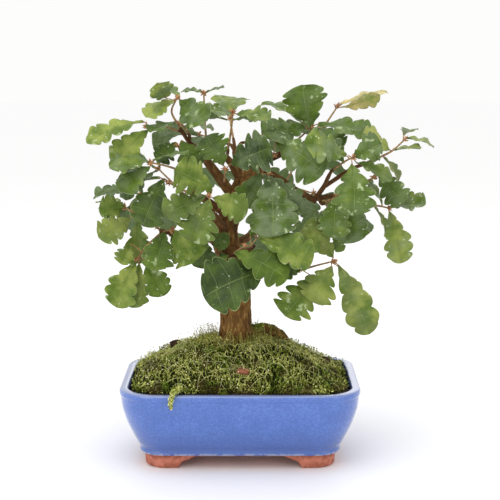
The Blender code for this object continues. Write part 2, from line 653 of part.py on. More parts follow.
def world_tree(piece):
    """A search tree of a finished piece."""
    points = [(piece.matrix_world @ vertex.co) / MM for vertex in piece.data.vertices]
    return bvh(points, [tuple(face.vertices) for face in piece.data.polygons])


def place_leaf(row, taken):
    """The first shift of the leaf's tip that keeps it clear of everything already there."""
    foot, tip, width, facing = row
    for shift in TIP_SHIFTS:
        skin = blade(foot, shifted(tip, shift), width, facing, LEAF_THICKNESS + 2 * GAP)
        own = bvh(*skin)
        if not any(tree.overlap(own) for tree in taken):
            return shifted(tip, shift)
    print("no clear place for the leaf at", tuple(foot))
    return None


def build_shoots(shoots, fixed_trees):
    """Twigs, then leaves one by one; each shoot is merged into a single body."""
    leaf_surface = material("oak_leaf", (0.11, 0.20, 0.06), 0.5)
    twigs = {name: tube(with_radii(points, *TWIG_RADIUS), sides=5) for name, (points, _) in shoots.items()}
    twig_trees = {name: bvh(*twig) for name, twig in twigs.items()}
    stalks = {}
    for name, (points, rows) in shoots.items():
        routes = []
        for foot, _, _, _ in rows:
            joint = nearest_on([points], foot)
            route = [tuple(joint), tuple(Vector(foot) + (Vector(foot) - joint).normalized())]
            routes.append(tube(with_radii(route, STALK_RADIUS, STALK_RADIUS), sides=4))
        stalks[name] = routes
    leaf_trees = {name: [] for name in shoots}
    for name, (points, rows) in shoots.items():
        others = [tree for other, tree in twig_trees.items() if other != name]
        others += [tree for other, trees in leaf_trees.items() if other != name for tree in trees]
        others += [bvh(*stalk) for other, routes in stalks.items() if other != name for stalk in routes]
        own_leaves = leaf_trees[name]
        parts = [new_object(name + "_stalk", *stalk) for stalk in stalks[name]]
        for row in rows:
            tip = place_leaf(row, fixed_trees + others + own_leaves)
            if tip is None:
                continue
            skin = blade(row[0], tip, row[2], row[3], LEAF_THICKNESS)
            own_leaves.append(bvh(*skin))
            parts.append(new_object(name + "_leaf", *skin))
        shoot = new_object(name, *twigs[name], origin=points[0])
        apply_booleans(shoot, [("UNION", part) for part in parts])
        finish(shoot, leaf_surface, 40)


# %% the whole object

for leftover in list(bpy.data.objects):
    bpy.data.objects.remove(leftover)
root = bpy.data.objects.new("bonsai", None)
bpy.context.scene.collection.objects.link(root)

all_shoots = dict(SHOOTS)
for shoot_name, (twig_start, twig_end, leaf_length) in BACK_SHOOTS.items():
    all_shoots[shoot_name] = [[twig_start, twig_end], fan_leaves([twig_start, twig_end], leaf_length)]

build_pot()
build_drain_cover("left", -DRAIN_X)
build_drain_cover("right", DRAIN_X)
wood = build_wood(all_shoots)
build_soil(wood_tubes(grow=GAP))
build_moss(wood_tubes(grow=GAP), build_lumps())
build_tuft()
bpy.context.view_layer.update()
build_shoots(all_shoots, [world_tree(wood), world_tree(bpy.data.objects["moss"])])

# stand the whole object with the middle of its outer box over the origin
bpy.context.view_layer.update()
corners = [piece.matrix_world @ Vector(corner) for piece in root.children for corner in piece.bound_box]
for axis in (0, 1):
    reach = [corner[axis] for corner in corners]
    root.location[axis] = -(min(reach) + max(reach)) / 2
bpy.context.view_layer.update()
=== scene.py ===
# %% [markdown]
# # A potted oak bonsai
# The object is a small pedunculate oak in a glazed rectangular pot.  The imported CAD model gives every
# piece its place.  Each cell below makes one piece or one finish and says why it is made that way.
# All design values are millimetres in the pot's own frame: x to the right, y to the back, z up, with
# the origin on the ground under the pot's middle.

import math

import bpy
import numpy as np
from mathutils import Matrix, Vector
from mathutils.bvhtree import BVHTree


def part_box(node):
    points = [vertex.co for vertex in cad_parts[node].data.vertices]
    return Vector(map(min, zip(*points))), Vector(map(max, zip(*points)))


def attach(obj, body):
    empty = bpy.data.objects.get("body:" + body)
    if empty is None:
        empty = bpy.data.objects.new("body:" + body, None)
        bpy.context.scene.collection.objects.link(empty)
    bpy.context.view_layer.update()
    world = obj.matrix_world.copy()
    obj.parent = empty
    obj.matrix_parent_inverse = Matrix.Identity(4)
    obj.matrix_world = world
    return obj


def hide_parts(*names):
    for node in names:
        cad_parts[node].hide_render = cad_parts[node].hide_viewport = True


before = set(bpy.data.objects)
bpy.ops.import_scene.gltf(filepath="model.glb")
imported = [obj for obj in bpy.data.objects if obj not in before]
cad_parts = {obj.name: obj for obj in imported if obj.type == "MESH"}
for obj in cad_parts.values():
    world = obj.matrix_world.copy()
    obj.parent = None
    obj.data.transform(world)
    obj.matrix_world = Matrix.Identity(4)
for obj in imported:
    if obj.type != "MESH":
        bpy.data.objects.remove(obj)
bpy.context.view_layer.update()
pot_low, pot_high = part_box("pot")
POT_MIDDLE = np.array([(pot_low[0] + pot_high[0]) / 2, (pot_low[1] + pot_high[1]) / 2, pot_low[2]])
MM = 0.001
rng = np.random.default_rng(11)
print("pot's middle in the frame, mm:", np.round(POT_MIDDLE / MM, 1))

# %% [markdown]
# ## Meshes from arrays
# A surface here is a grid of points, worked out as whole arrays.  One helper turns a list of such
# grids into a single object, with its UV map and named numbers on its points for the finish to read.
# The object stays at the origin and its place is in its points, as for the CAD nodes.

# %% Grid helpers


def grid_faces(rows, columns, wrap=False):
    """Corner numbers of the quads between neighbours in a rows by columns grid."""
    row = np.arange(rows - 1)[:, None]
    column = np.arange(columns if wrap else columns - 1)[None, :]
    after = (column + 1) % columns
    near, far = row * columns, (row + 1) * columns
    corners = [near + column, near + after, far + after, far + column]
    return np.stack(corners, axis=-1).reshape(-1, 4)


def capped(rings):
    """Rings of points closed at both ends by a ring drawn in to the end ring's own middle."""
    middles = rings[[0, -1]].mean(axis=1, keepdims=True) + 0 * rings[:1]
    return np.concatenate([middles[:1], rings, middles[1:]])


def piece_from(name, parts, materials):
    """One object from parts: dicts of points (n, 3) in mm, faces, uv (n, 2), look (n, 4), finish number."""
    counts = np.cumsum([0] + [len(part["points"]) for part in parts])
    points = np.concatenate([part["points"] for part in parts]) * MM + POT_MIDDLE
    mesh = bpy.data.meshes.new(name)
    loops, starts, sizes, numbers = [], [], [], []
    at = 0
    for part, offset in zip(parts, counts):
        for faces in part["faces"]:
            size = faces.shape[1]
            loops.append((faces + offset).ravel())
            starts.append(at + size * np.arange(len(faces)))
            sizes.append(np.full(len(faces), size))
            numbers.append(np.full(len(faces), part.get("finish", 0)))
            at += faces.size
    loops = np.concatenate(loops).astype(np.int32)
    mesh.vertices.add(len(points))
    mesh.vertices.foreach_set("co", points.astype(np.float32).ravel())
    mesh.loops.add(len(loops))
    mesh.loops.foreach_set("vertex_index", loops)
    mesh.polygons.add(sum(len(start) for start in starts))
    mesh.polygons.foreach_set("loop_start", np.concatenate(starts).astype(np.int32))
    mesh.polygons.foreach_set("material_index", np.concatenate(numbers).astype(np.int32))
    mesh.update(calc_edges=True)
    uv = np.concatenate([part.get("uv", np.zeros((len(part["points"]), 2))) for part in parts])
    mesh.uv_layers.new(name="UVMap").data.foreach_set("uv", uv[loops].astype(np.float32).ravel())
    look = np.concatenate([part.get("look", np.zeros((len(part["points"]), 4))) for part in parts])
    layer = mesh.attributes.new("look", "FLOAT_COLOR", "POINT")
    layer.data.foreach_set("color", look.astype(np.float32).ravel())
    mesh.validate()
    mesh.shade_smooth()
    result = bpy.data.objects.new(name, mesh)
    bpy.context.scene.collection.objects.link(result)
    for one in materials:
        mesh.materials.append(one)
    print(f"{name}: {len(points)} points, {len(mesh.polygons)} faces")
    return result


# large whole numbers that scramble a lattice corner's place into one number
SCRAMBLE = (374761393, 668265263, 2147483647)
SEED_STEP = 144665
SCRAMBLE_AGAIN = 1274126177


def noise(points, cell, seed=0):
    """Smooth noise from -1 to 1: random values on a lattice of the given cell, eased between corners."""
    scaled = np.asarray(points, float) / cell + seed * 17.31
    low = np.floor(scaled).astype(np.int64)
    share = scaled - low
    share = share * share * (3 - 2 * share)
    total = np.zeros(scaled.shape[:-1])
    for corner in np.ndindex(2, 2, 2):
        spot = low + corner
        mixed = (spot * SCRAMBLE).sum(axis=-1) + seed * SEED_STEP
        mixed = (mixed ^ (mixed >> 13)) * SCRAMBLE_AGAIN
        value = ((mixed ^ (mixed >> 16)) & 65535) / 32767.5 - 1
        weight = np.prod(np.where(corner, share, 1 - share), axis=-1)
        total += value * weight
    return total


print("mesh helpers are ready")

# %% [markdown]
# ## Finishes written as expressions
# A finish is a tree of shader nodes.  Wrapping a socket in a small class with the usual operators
# keeps the maths readable: `0.3 + 0.2 * mask` adds the two Math nodes by itself.

# %% Shader helpers


class Value:
    """A number, colour or vector on its way through a finish's nodes."""

    def __init__(self, finish, socket):
        self.finish = finish
        self.socket = socket

    def math(self, operation, *others):
        """A Math node on this value and any others."""
        return self.finish.node("ShaderNodeMath", {"operation": operation}, dict(enumerate((self, *others))))

    def __add__(self, other):
        return self.math("ADD", other)

    __radd__ = __add__

    def __mul__(self, other):
        return self.math("MULTIPLY", other)

    __rmul__ = __mul__

    def __sub__(self, other):
        return self.math("SUBTRACT", other)

    def __rsub__(self, other):
        return self * -1 + other

    def ramp(self, low, high, to_low=0.0, to_high=1.0):
        """Eased from one value at low to another at high, and level beyond them."""
        inputs = {"Value": self, "From Min": low, "From Max": high, "To Min": to_low, "To Max": to_high}
        return self.finish.node("ShaderNodeMapRange", {"interpolation_type": "SMOOTHSTEP"}, inputs)


class Finish:
    """A Principled material under construction."""

    def __init__(self, name):
        self.material = bpy.data.materials.new(name)
        self.material.use_nodes = True
        self.tree = self.material.node_tree
        self.shader = self.tree.nodes["Principled BSDF"]

    def fill(self, node, inputs):
        """Set a node's sockets: a Value is linked, a colour of three gets alpha one, the rest is set."""
        for name, value in inputs.items():
            if isinstance(value, Value):
                self.tree.links.new(value.socket, node.inputs[name])
            elif isinstance(value, tuple) and len(value) == 3 and len(node.inputs[name].default_value) == 4:
                node.inputs[name].default_value = (*value, 1.0)
            else:
                node.inputs[name].default_value = value

    def node(self, kind, settings=None, inputs=None, output=0):
        """Add a node, set it up, feed its sockets, and give back one of its outputs."""
        node = self.tree.nodes.new(kind)
        for name, value in (settings or {}).items():
            setattr(node, name, value)
        self.fill(node, inputs or {})
        return Value(self, node.outputs[output])

    def mix(self, first, second, factor):
        """A colour between two others."""
        settings = {"data_type": "RGBA"}
        return self.node("ShaderNodeMix", settings, {"Factor": factor, 6: first, 7: second}, 2)

    def place(self, stretch=(1, 1, 1)):
        """The piece's own coordinates in metres, stretched."""
        point = self.node("ShaderNodeTexCoord", None, None, "Object")
        if stretch == (1, 1, 1):
            return point
        return self.node("ShaderNodeMapping", None, {"Vector": point, "Scale": stretch})

    def noise(self, scale, detail=3.0, stretch=(1, 1, 1)):
        """Cloudy noise, 0 to 1, with about this many clouds to a metre."""
        inputs = {"Vector": self.place(stretch), "Scale": scale, "Detail": detail}
        return self.node("ShaderNodeTexNoise", None, inputs, "Fac")

    def spots(self, scale, feature="F1"):
        """Distance from scattered points, or with another feature from the edges between their cells."""
        inputs = {"Vector": self.place(), "Scale": scale}
        return self.node("ShaderNodeTexVoronoi", {"feature": feature}, inputs, "Distance")

    def split(self, value):
        """The three parts of a vector."""
        parts = self.tree.nodes.new("ShaderNodeSeparateXYZ")
        self.fill(parts, {0: value})
        return [Value(self, output) for output in parts.outputs]

    def look(self):
        """The three numbers that a piece's points carry, so that its parts can differ."""
        return self.split(self.node("ShaderNodeAttribute", {"attribute_name": "look"}, None, "Vector"))

    def bump(self, height, distance, strength=1.0):
        """A normal tilted by the slope of a height, of which one stands for the given metres."""
        inputs = {"Height": height, "Distance": distance, "Strength": strength}
        return self.node("ShaderNodeBump", None, inputs)

    def done(self, **inputs):
        """Feed the shader, where an underscore in a name stands for a space, and give back the material."""
        self.fill(self.shader, {name.replace("_", " "): value for name, value in inputs.items()})
        return self.material


print("shader helpers are ready")

# %% [markdown]
# ## Camera, light and floor
# The tree is seen from a little above, from straight in front, with a long lens.  A large soft light
# overhead and one in front, with a bright sky, give the even light of a studio, and the pale floor
# has no edge against the sky.  Round the pot the floor is darker: a painted shadow.

# %% Camera and light


def aim(item, target):
    """Turn a camera or a light toward a point."""
    item.rotation_euler = (Vector(target) - item.location).to_track_quat("-Z", "Y").to_euler()


def add_light(name, place_mm, size, power, colour, target_mm=(0, 0, 200)):
    """A square soft light, aimed at the tree."""
    light = bpy.data.lights.new(name, "AREA")
    light.size = size
    light.energy = power
    light.color = colour
    holder = bpy.data.objects.new(name, light)
    holder.location = Vector(np.array(place_mm) * MM + POT_MIDDLE)
    bpy.context.scene.collection.objects.link(holder)
    aim(holder, np.array(target_mm) * MM + POT_MIDDLE)


CAMERA_PLACE = np.array([10.8, -1454.0, 454.4])
# degrees below level
CAMERA_TILT = 8.85
camera = bpy.data.objects.new("camera", bpy.data.cameras.new("camera"))
camera.data.sensor_width = 36.0
camera.data.lens = 96.2
camera.location = Vector(CAMERA_PLACE * MM + POT_MIDDLE)
camera.rotation_euler = (math.radians(90 - CAMERA_TILT), 0, 0)
bpy.context.scene.collection.objects.link(camera)
bpy.context.scene.camera = camera

add_light("overhead", (-250, -350, 1500), 1.3, 9.0, (1.0, 0.99, 0.97))
add_light("front_left", (-900, -1200, 700), 1.0, 4.0, (1.0, 0.99, 0.98))
add_light("front_right", (1100, -900, 500), 0.9, 1.5, (0.97, 0.98, 1.0))
add_light("back", (300, 1200, 900), 1.2, 3.0, (1.0, 1.0, 1.0))

world = bpy.data.worlds.new("studio")
world.use_nodes = True
world.node_tree.nodes["Background"].inputs["Color"].default_value = (1.0, 0.998, 0.992, 1.0)
world.node_tree.nodes["Background"].inputs["Strength"].default_value = 0.985
bpy.context.scene.world = world
bpy.context.scene.view_settings.view_transform = "Standard"

floor_finish = Finish("studio_floor")
length = {"operation": "LENGTH"}
from_pot = floor_finish.node("ShaderNodeVectorMath", length, {0: floor_finish.place()}, "Value")
# the floor is darker near the pot, fading out by 1.3 m: a painted shadow of the pot, with a faint mottle
# from noise
painted_shadow_and_mottle = from_pot.ramp(0.2, 1.3) * floor_finish.noise(3.0, 2.0).ramp(0.0, 0.6, 0.97, 1.0)
floor_material = floor_finish.done(
    Base_Color=floor_finish.mix((0.86, 0.86, 0.885), (0.985, 0.985, 0.99), painted_shadow_and_mottle),
    Roughness=0.6,
)
FLOOR_SIDES = 96
FLOOR_RADII = np.array([9000, 2500, 900, 300, 0.0001])[:, None]
floor_turn = np.linspace(0, 2 * np.pi, FLOOR_SIDES + 1)[:-1]
floor_rings = [
    FLOOR_RADII * np.cos(floor_turn),
    FLOOR_RADII * np.sin(floor_turn),
    0 * FLOOR_RADII * floor_turn,
]
floor_part = {
    "points": np.stack(floor_rings, axis=-1).reshape(-1, 3),
    "faces": [grid_faces(len(FLOOR_RADII), FLOOR_SIDES, wrap=True)],
}
floor = piece_from("studio_floor", [floor_part], [floor_material])

# %% [markdown]
# ## The pot
# The real pot is slip-cast stoneware: a rounded rectangle whose walls swell upward to a rolled lip,
# on four corner feet with a stepped cut.  Its section is the same all round, so the wall is a profile
# carried along the rounded-rectangle outline.  Blue glaze covers it down to the feet, thin and pale
# on the lip where it runs off the edge, and the feet are bare red clay.

# %% Pot outline and wall
POT_LENGTH = 260.0
POT_WIDTH = 187.0
CORNER_RADIUS = 42.0
DRAIN_X = 55.0
DRAIN_RADIUS = 9.0
POT_FLOOR = 24.0
CORNER_SHRINK = 0.7
SMALLEST_CORNER = 8.0
# how far inside the rim's outline, and how high, from the foot of the wall over the lip to the floor
POT_PROFILE = [
    (24.2, 15.0), (22.5, 15.2), (21.1, 16.4), (20.6, 18.4), (21.1, 20.6), (20.6, 23.0), (18.2, 27.0),
    (13.8, 36.0), (9.2, 46.0), (5.6, 56.0), (2.8, 66.0), (1.6, 75.0), (1.1, 79.0), (0.3, 80.6),
    (0.0, 82.5), (0.1, 85.0), (1.2, 86.5), (3.0, 87.0), (6.5, 87.0), (8.6, 86.4), (9.8, 84.6),
    (10.5, 79.0), (12.0, 66.0), (17.0, 45.0), (23.5, 30.0), (30.0, 24.0),
]


def smooth_path(points, count):
    """A Catmull-Rom curve through the points, as `count` even steps of its parameter."""
    points = np.asarray(points, float)
    padded = np.concatenate([2 * points[:1] - points[1:2], points, 2 * points[-1:] - points[-2:-1]])
    at = np.linspace(0, len(points) - 1, count)
    index = np.minimum(at.astype(int), len(points) - 2)
    t = (at - index)[:, None]
    a, b, c, d = (padded[index + k] for k in range(4))
    return b + 0.5 * t * (c - a + t * (2 * a - 5 * b + 4 * c - d + t * (3 * (b - c) + d - a)))


def corner_radius(inset):
    """Radius of the outline's corners, smaller the further in, but never sharp."""
    return np.maximum(CORNER_RADIUS - CORNER_SHRINK * inset, SMALLEST_CORNER)


def pot_outline(inset, count=256):
    """Rounded rectangle drawn in by inset: a point's arc centre slides along the straights, and its
    angle turns only round the corners, so that the points are even along the rim."""
    long_run = 2 * (POT_LENGTH / 2 - CORNER_RADIUS)
    short_run = 2 * (POT_WIDTH / 2 - CORNER_RADIUS)
    arc = CORNER_RADIUS * np.pi / 2
    stops = np.cumsum([0, short_run / 2, arc, long_run, arc, short_run, arc, long_run, arc, short_run / 2])
    run = np.linspace(0, stops[-1], count, endpoint=False)
    centre_x = np.interp(run, stops, [1, 1, 1, -1, -1, -1, -1, 1, 1, 1])
    centre_y = np.interp(run, stops, [0, 1, 1, 1, 1, -1, -1, -1, -1, 0])
    turn = np.pi / 2 * np.interp(run, stops, [0, 0, 1, 1, 2, 2, 3, 3, 4, 4])
    inset = np.asarray(inset, float)[..., None]
    radius = corner_radius(inset)
    x = centre_x * (POT_LENGTH / 2 - inset - radius) + radius * np.cos(turn)
    y = centre_y * (POT_WIDTH / 2 - inset - radius) + radius * np.sin(turn)
    return x, y


profile = smooth_path(POT_PROFILE, 150)
wall_x, wall_y = pot_outline(profile[:, 0])
wall_z = np.broadcast_to(profile[:, 1:2], wall_x.shape)
wall = np.stack([wall_x, wall_y, wall_z], axis=-1)
print("pot wall grid:", wall.shape[:2])

# %% [markdown]
# The wall is closed into a ring of clay that hides inside the floor slab.  The slab is made in two
# halves, each one a ring round its own drain hole, so that the holes go right through.  A foot is a
# bar carried round its corner, whose underside rises in the two steps of the cut at either end.

# %% Floor slab, feet and the whole pot


def flip(part, wrong_way):
    """Turn a part's faces round when a mirrored copy would be inside out."""
    if wrong_way:
        part["faces"] = [faces[:, ::-1] for faces in part["faces"]]
    return part


def ring_part(rings):
    """A part from (rings, points) arrays that closes on itself both ways, like a tyre."""
    rings = np.concatenate([rings, rings[:1]])
    rows, columns = rings.shape[:2]
    faces = grid_faces(rows, columns, wrap=True)
    faces = np.where(faces >= (rows - 1) * columns, faces - (rows - 1) * columns, faces)
    return {"points": rings[:-1].reshape(-1, 3), "faces": [faces]}


SLAB_UNDER = 15.0
SLAB_OVERLAP = 0.2
HOLE_BEVEL = 0.8
# the slab's section round a drain hole: radius from the hole, or inset from the rim, and height
SLAB_SECTION = [
    (DRAIN_RADIUS + HOLE_BEVEL, None, SLAB_UNDER),
    (None, 23.8, SLAB_UNDER),
    (None, 29.5, POT_FLOOR),
    (DRAIN_RADIUS + HOLE_BEVEL, None, POT_FLOOR),
    (DRAIN_RADIUS, None, POT_FLOOR - HOLE_BEVEL),
    (DRAIN_RADIUS, None, SLAB_UNDER + HOLE_BEVEL),
]
SLAB_SIDES = 96
NEARLY_ZERO = 1e-6


def reach_of_rays(heading, side, inset):
    """How far each ray from a hole's middle runs before it meets the outline or the middle line: the
    nearest of room / (heading . normal) over all the edges ahead."""
    edge = np.stack(pot_outline(inset), axis=-1)
    step = np.roll(edge, -1, axis=0) - edge
    normal = np.stack([step[:, 1], -step[:, 0]], axis=-1)
    room = (normal * edge).sum(1) - normal[:, 0] * side * DRAIN_X
    normal = np.concatenate([normal, [[-side, 0.0]]])
    room = np.append(room, DRAIN_X + SLAB_OVERLAP)
    facing = heading @ normal.T
    ahead = facing > NEARLY_ZERO
    return np.where(ahead, room / np.maximum(facing, NEARLY_ZERO), np.inf).min(1)


def slab_half(side):
    """Half of the pot's floor: each section runs from the drain hole out to the wall and back below."""
    turn = np.linspace(0, 2 * np.pi, SLAB_SIDES, endpoint=False)
    heading = np.stack([np.cos(turn), np.sin(turn)], axis=-1)
    rings = []
    for radius, inset, z in SLAB_SECTION:
        if radius is None:
            radius = reach_of_rays(heading, side, inset)
        x = side * DRAIN_X + heading[:, 0] * radius
        y = heading[:, 1] * radius
        rings.append(np.stack([x, y, np.full_like(x, z)], axis=-1))
    return flip(ring_part(np.array(rings)), True)


def ease(value, low, high):
    """0 below low, 1 above high, smooth between."""
    t = np.clip((value - low) / (high - low), 0, 1)
    return t * t * (3 - 2 * t)


FOOT_END_X = 41.0
FOOT_END_Y = 20.0
# how far from a foot's end its low part begins
FOOT_STEP_X = 26.0
FOOT_STEP_Y = 15.0
# how far the underside rises in the step and then in the slope to the end
FOOT_STEP_RISE = 5.0
FOOT_SLOPE_RISE = 12.0
# where a foot's corner begins and ends, as shares of its length
TURN_FROM = 0.4
TURN_TO = 0.6
FOOT_ROOTED = 18.0
FOOT_STEPS = 110
# the foot's section: how far inside the rim, and how high above its underside (None: in the slab)
FOOT_SECTION = [(25.4, None), (27.0, 1.6), (28.8, 0.0), (39.8, 0.0), (40.8, 1.0), (41.0, None)]


def foot(sign_x, sign_y):
    """One corner foot, straight, round the corner, straight: end + run x share + radius x (cos, sin).
    Its underside steps and slopes up toward both ends."""
    along = np.linspace(0, 1, FOOT_STEPS)
    turn = np.clip((TURN_TO - along) / (TURN_TO - TURN_FROM), 0, 1) * np.pi / 2
    first = np.clip(along / TURN_FROM, 0, 1)
    last = np.clip((along - TURN_TO) / (1 - TURN_TO), 0, 1)
    on_side = along > 0.5
    step = np.where(on_side, FOOT_STEP_Y, FOOT_STEP_X)
    rings = []
    for inset, rise in FOOT_SECTION:
        radius = corner_radius(inset)
        run_x = POT_LENGTH / 2 - inset - radius - FOOT_END_X
        run_y = POT_WIDTH / 2 - inset - radius - FOOT_END_Y
        x = FOOT_END_X + run_x * first + radius * np.cos(turn)
        y = FOOT_END_Y + run_y * (1 - last) + radius * np.sin(turn)
        from_end = np.where(on_side, run_y * (1 - last), run_x * first)
        stepped = FOOT_STEP_RISE * (1 - ease(from_end, step - FOOT_STEP_RISE, step))
        sloped = FOOT_SLOPE_RISE * (1 - np.clip(from_end / step, 0, 1) ** 0.8)
        z = np.full_like(x, FOOT_ROOTED) if rise is None else stepped + sloped + rise
        rings.append(np.stack([sign_x * x, sign_y * y, z], axis=-1))
    body = capped(np.array(rings).transpose(1, 0, 2))
    part = {"points": body.reshape(-1, 3), "faces": [grid_faces(*body.shape[:2], wrap=True)]}
    return flip(part, sign_x * sign_y > 0)


def pot_finish():
    """Blue glaze with a fine mottle, pale where it is thin on the lip, darker low on the wall as painted
    shade, over bare red clay at the feet.
    """
    finish = Finish("blue_glaze_on_clay")
    height = finish.split(finish.place())[2]
    mottle = finish.noise(420.0, 5.0).ramp(0.35, 0.68)
    clouds = finish.noise(38.0, 3.0).ramp(0.3, 0.75)
    blue = finish.mix((0.055, 0.132, 0.45), (0.086, 0.182, 0.55), mottle)
    blue = finish.mix(blue, (0.044, 0.105, 0.38), clouds * 0.45)
    # darker low on the wall, where it curves in under the pot and faces the floor: painted shade
    painted_shade_low_on_wall = height.ramp(0.016, 0.055, 1.0, 0.0)
    blue = finish.mix(blue, (0.035, 0.085, 0.30), painted_shade_low_on_wall * 0.65)
    freckles = finish.spots(520.0).ramp(0.05, 0.16, 1.0, 0.0) * finish.noise(90.0, 2.0).ramp(0.5, 0.7)
    blue = finish.mix(blue, (0.02, 0.04, 0.16), freckles * 0.35)
    edge_run = finish.noise(120.0, 3.0) * 0.0016
    thin = (height + edge_run).ramp(0.0850, 0.0876)
    glaze = finish.mix(blue, (0.20, 0.24, 0.43), thin * 0.75)
    foot_pale = (height + edge_run).ramp(0.0172, 0.0200, 1.0, 0.0)
    foot_pale = foot_pale * finish.noise(200.0, 3.0).ramp(0.35, 0.55) * 0.75
    glaze = finish.mix(glaze, (0.34, 0.40, 0.55), foot_pale)
    clay_tone = finish.noise(160.0, 5.0).ramp(0.3, 0.7)
    clay = finish.mix((0.34, 0.095, 0.05), (0.56, 0.19, 0.12), clay_tone)
    pits = finish.spots(700.0).ramp(0.1, 0.3, 1.0, 0.0)
    clay = finish.mix(clay, (0.22, 0.08, 0.05), pits * 0.5)
    glazed = (height + finish.noise(70.0, 2.0) * 0.0018).ramp(0.0160, 0.0172)
    surface = finish.noise(55.0, 2.0) * 0.8 + finish.noise(900.0, 4.0) * (glazed * -0.22 + 0.25)
    return finish.done(
        Base_Color=finish.mix(clay, glaze, glazed),
        Roughness=glazed.ramp(0, 1, 0.78, 0.16) + mottle * 0.03,
        Coat_Weight=glazed * 0.7,
        Coat_Roughness=0.06,
        Normal=finish.bump(surface, 0.0006, 0.6),
    )


pot_parts = [flip(ring_part(wall), False), slab_half(-1), slab_half(1)]
pot_parts += [foot(sign_x, sign_y) for sign_x in (-1, 1) for sign_y in (-1, 1)]
pot = piece_from("glazed_pot", pot_parts, [pot_finish()])
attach(pot, "root")
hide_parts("pot")

# %% [markdown]
# ## Drain covers
# A square of black plastic lattice lies over each drain hole and a bent aluminium wire holds it.
# Their CAD shapes are right, so they only get finishes.

# %% Plastic and wire
plastic = Finish("black_plastic")
plastic_material = plastic.done(
    Base_Color=plastic.mix((0.015, 0.015, 0.016), (0.04, 0.04, 0.04), plastic.noise(800.0, 3.0)),
    Roughness=plastic.noise(300.0, 3.0).ramp(0.2, 0.8, 0.4, 0.6),
    Normal=plastic.bump(plastic.noise(1500.0, 2.0), 0.0002),
)
wire = Finish("aluminium_wire")
wire_material = wire.done(
    Base_Color=wire.mix((0.5, 0.5, 0.52), (0.64, 0.64, 0.66), wire.noise(600.0, 3.0)),
    Metallic=1.0,
    Roughness=wire.noise(900.0, 3.0).ramp(0.2, 0.8, 0.28, 0.5),
    Normal=wire.bump(wire.noise(1200.0, 2.0, (1, 1, 0.1)), 0.0001),
)
for side in ("left", "right"):
    for node, material in ((f"drain_mesh_{side}", plastic_material), (f"mesh_staple_{side}", wire_material)):
        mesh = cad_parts[node].data
        mesh.materials.clear()
        mesh.materials.append(material)
print("finished the drain covers")

# %% [markdown]
# ## Soil
# The soil is a low dome, highest at the tree, made of grains from dust to pea size.  A height that is
# a smooth dome plus noise gives the lie of it, and loose grains on top give it its broken edge.

# %% Soil dome
SOIL_EDGE = 82.0
MOUND_RISE = 43.0
MOUND_POWER = 1.85
MOUND_INSET = 11.0
SOIL_INSET = 11.8
TREE_X = -5.0
MOSS_THICKNESS = 5.0
AROUND = 240


def mound(x, y):
    """Height of the soil: edge height plus rise x (1 - share ^ power), share being the way to the wall."""
    across = np.abs(x - TREE_X) / (POT_LENGTH / 2 - MOUND_INSET)
    deep = np.abs(y) / (POT_WIDTH / 2 - MOUND_INSET)
    share = np.minimum((across**3 + deep**3) ** (1 / 3), 1.0)
    return SOIL_EDGE + MOUND_RISE * (1 - share**MOUND_POWER)


def moss_top(x, y):
    """Height of the moss: the dome, the moss's thickness, and gentle cushions."""
    cushions = np.sin(x / 11 + 0.7) * np.sin(y / 9) + 0.6 * np.sin(x / 5.5 - y / 7)
    return mound(x, y) + MOSS_THICKNESS + 0.9 * cushions


def over_mound(shares):
    """Plan points of rings about the tree, each a share of the way to the wall."""
    x, y = pot_outline(SOIL_INSET, AROUND)
    return TREE_X + (x - TREE_X) * shares[:, None], y * shares[:, None]


def lift(x, y, z):
    """Plan points with heights, as one array of points."""
    return np.stack([x, y, np.broadcast_to(z, x.shape)], axis=-1)


# the soil's side lies against the pot's inside: inset and height, from the floor up
SOIL_SIDE = np.array([(31.0, 24.4), (24.6, 30.4), (18.1, 45.4), (13.1, 66.4), (11.6, 79.0)])
side_x, side_y = pot_outline(SOIL_SIDE[:, 0], AROUND)
sides = lift(side_x, side_y, SOIL_SIDE[:, 1:])
dome_x, dome_y = over_mound(np.linspace(1, 0.02, 90))
dome = lift(dome_x, dome_y, mound(dome_x, dome_y) - 0.6)
dome[..., 2] += 0.9 * noise(dome, 7.0, 1) + 0.55 * noise(dome, 2.6, 2)
soil_rings = np.concatenate([sides, dome])
floor_middle = soil_rings[:1] * [0, 0, 1]
top_middle = soil_rings[-1:] * [0, 0, 1] + [TREE_X, 0, 0]
closed = np.concatenate([floor_middle, soil_rings, top_middle])
soil_part = {"points": closed.reshape(-1, 3), "faces": [grid_faces(*closed.shape[:2], wrap=True)]}
print("soil rings:", closed.shape[:2])

# %% [markdown]
# Grains, leaflets, bud scales and seed dots are all one small shape: a stretched octahedron, eight
# faces, made by the thousand from arrays of centres and axes.  Stems and blades are its partner: thin
# three-sided tubes along short curved paths.

# %% Small shapes by the thousand
OCTAHEDRON = np.array([[1, 0, 0], [-1, 0, 0], [0, 1, 0], [0, -1, 0], [0, 0, 1], [0, 0, -1]], float)
OCTAHEDRON_FACES = np.array(
    [[0, 2, 4], [2, 1, 4], [1, 3, 4], [3, 0, 4], [2, 0, 5], [1, 2, 5], [3, 1, 5], [0, 3, 5]]
)


def beads(centres, axes, look, finish=0):
    """Octahedra with the given centres (n, 3) and half axes (n, 3, 3); look (n, 4) goes to the points."""
    count = len(centres)
    points = centres[:, None] + np.einsum("kj,njd->nkd", OCTAHEDRON, axes)
    faces = OCTAHEDRON_FACES[None] + 6 * np.arange(count)[:, None, None]
    return {
        "points": points.reshape(-1, 3),
        "faces": [faces.reshape(-1, 3)],
        "look": np.repeat(look, 6, axis=0),
        "finish": finish,
    }


def unit(vectors):
    """Vectors scaled to length one."""
    return vectors / np.maximum(np.linalg.norm(vectors, axis=-1, keepdims=True), 1e-9)


def axes_along(along, up, sizes):
    """Three half axes per item: along, across and up, with the given sizes (n, 3)."""
    along = unit(along)
    across = unit(np.cross(up, along))
    upward = np.cross(along, across)
    return np.stack([along, across, upward], axis=1) * sizes[:, :, None]


STEM_SIDES = 3


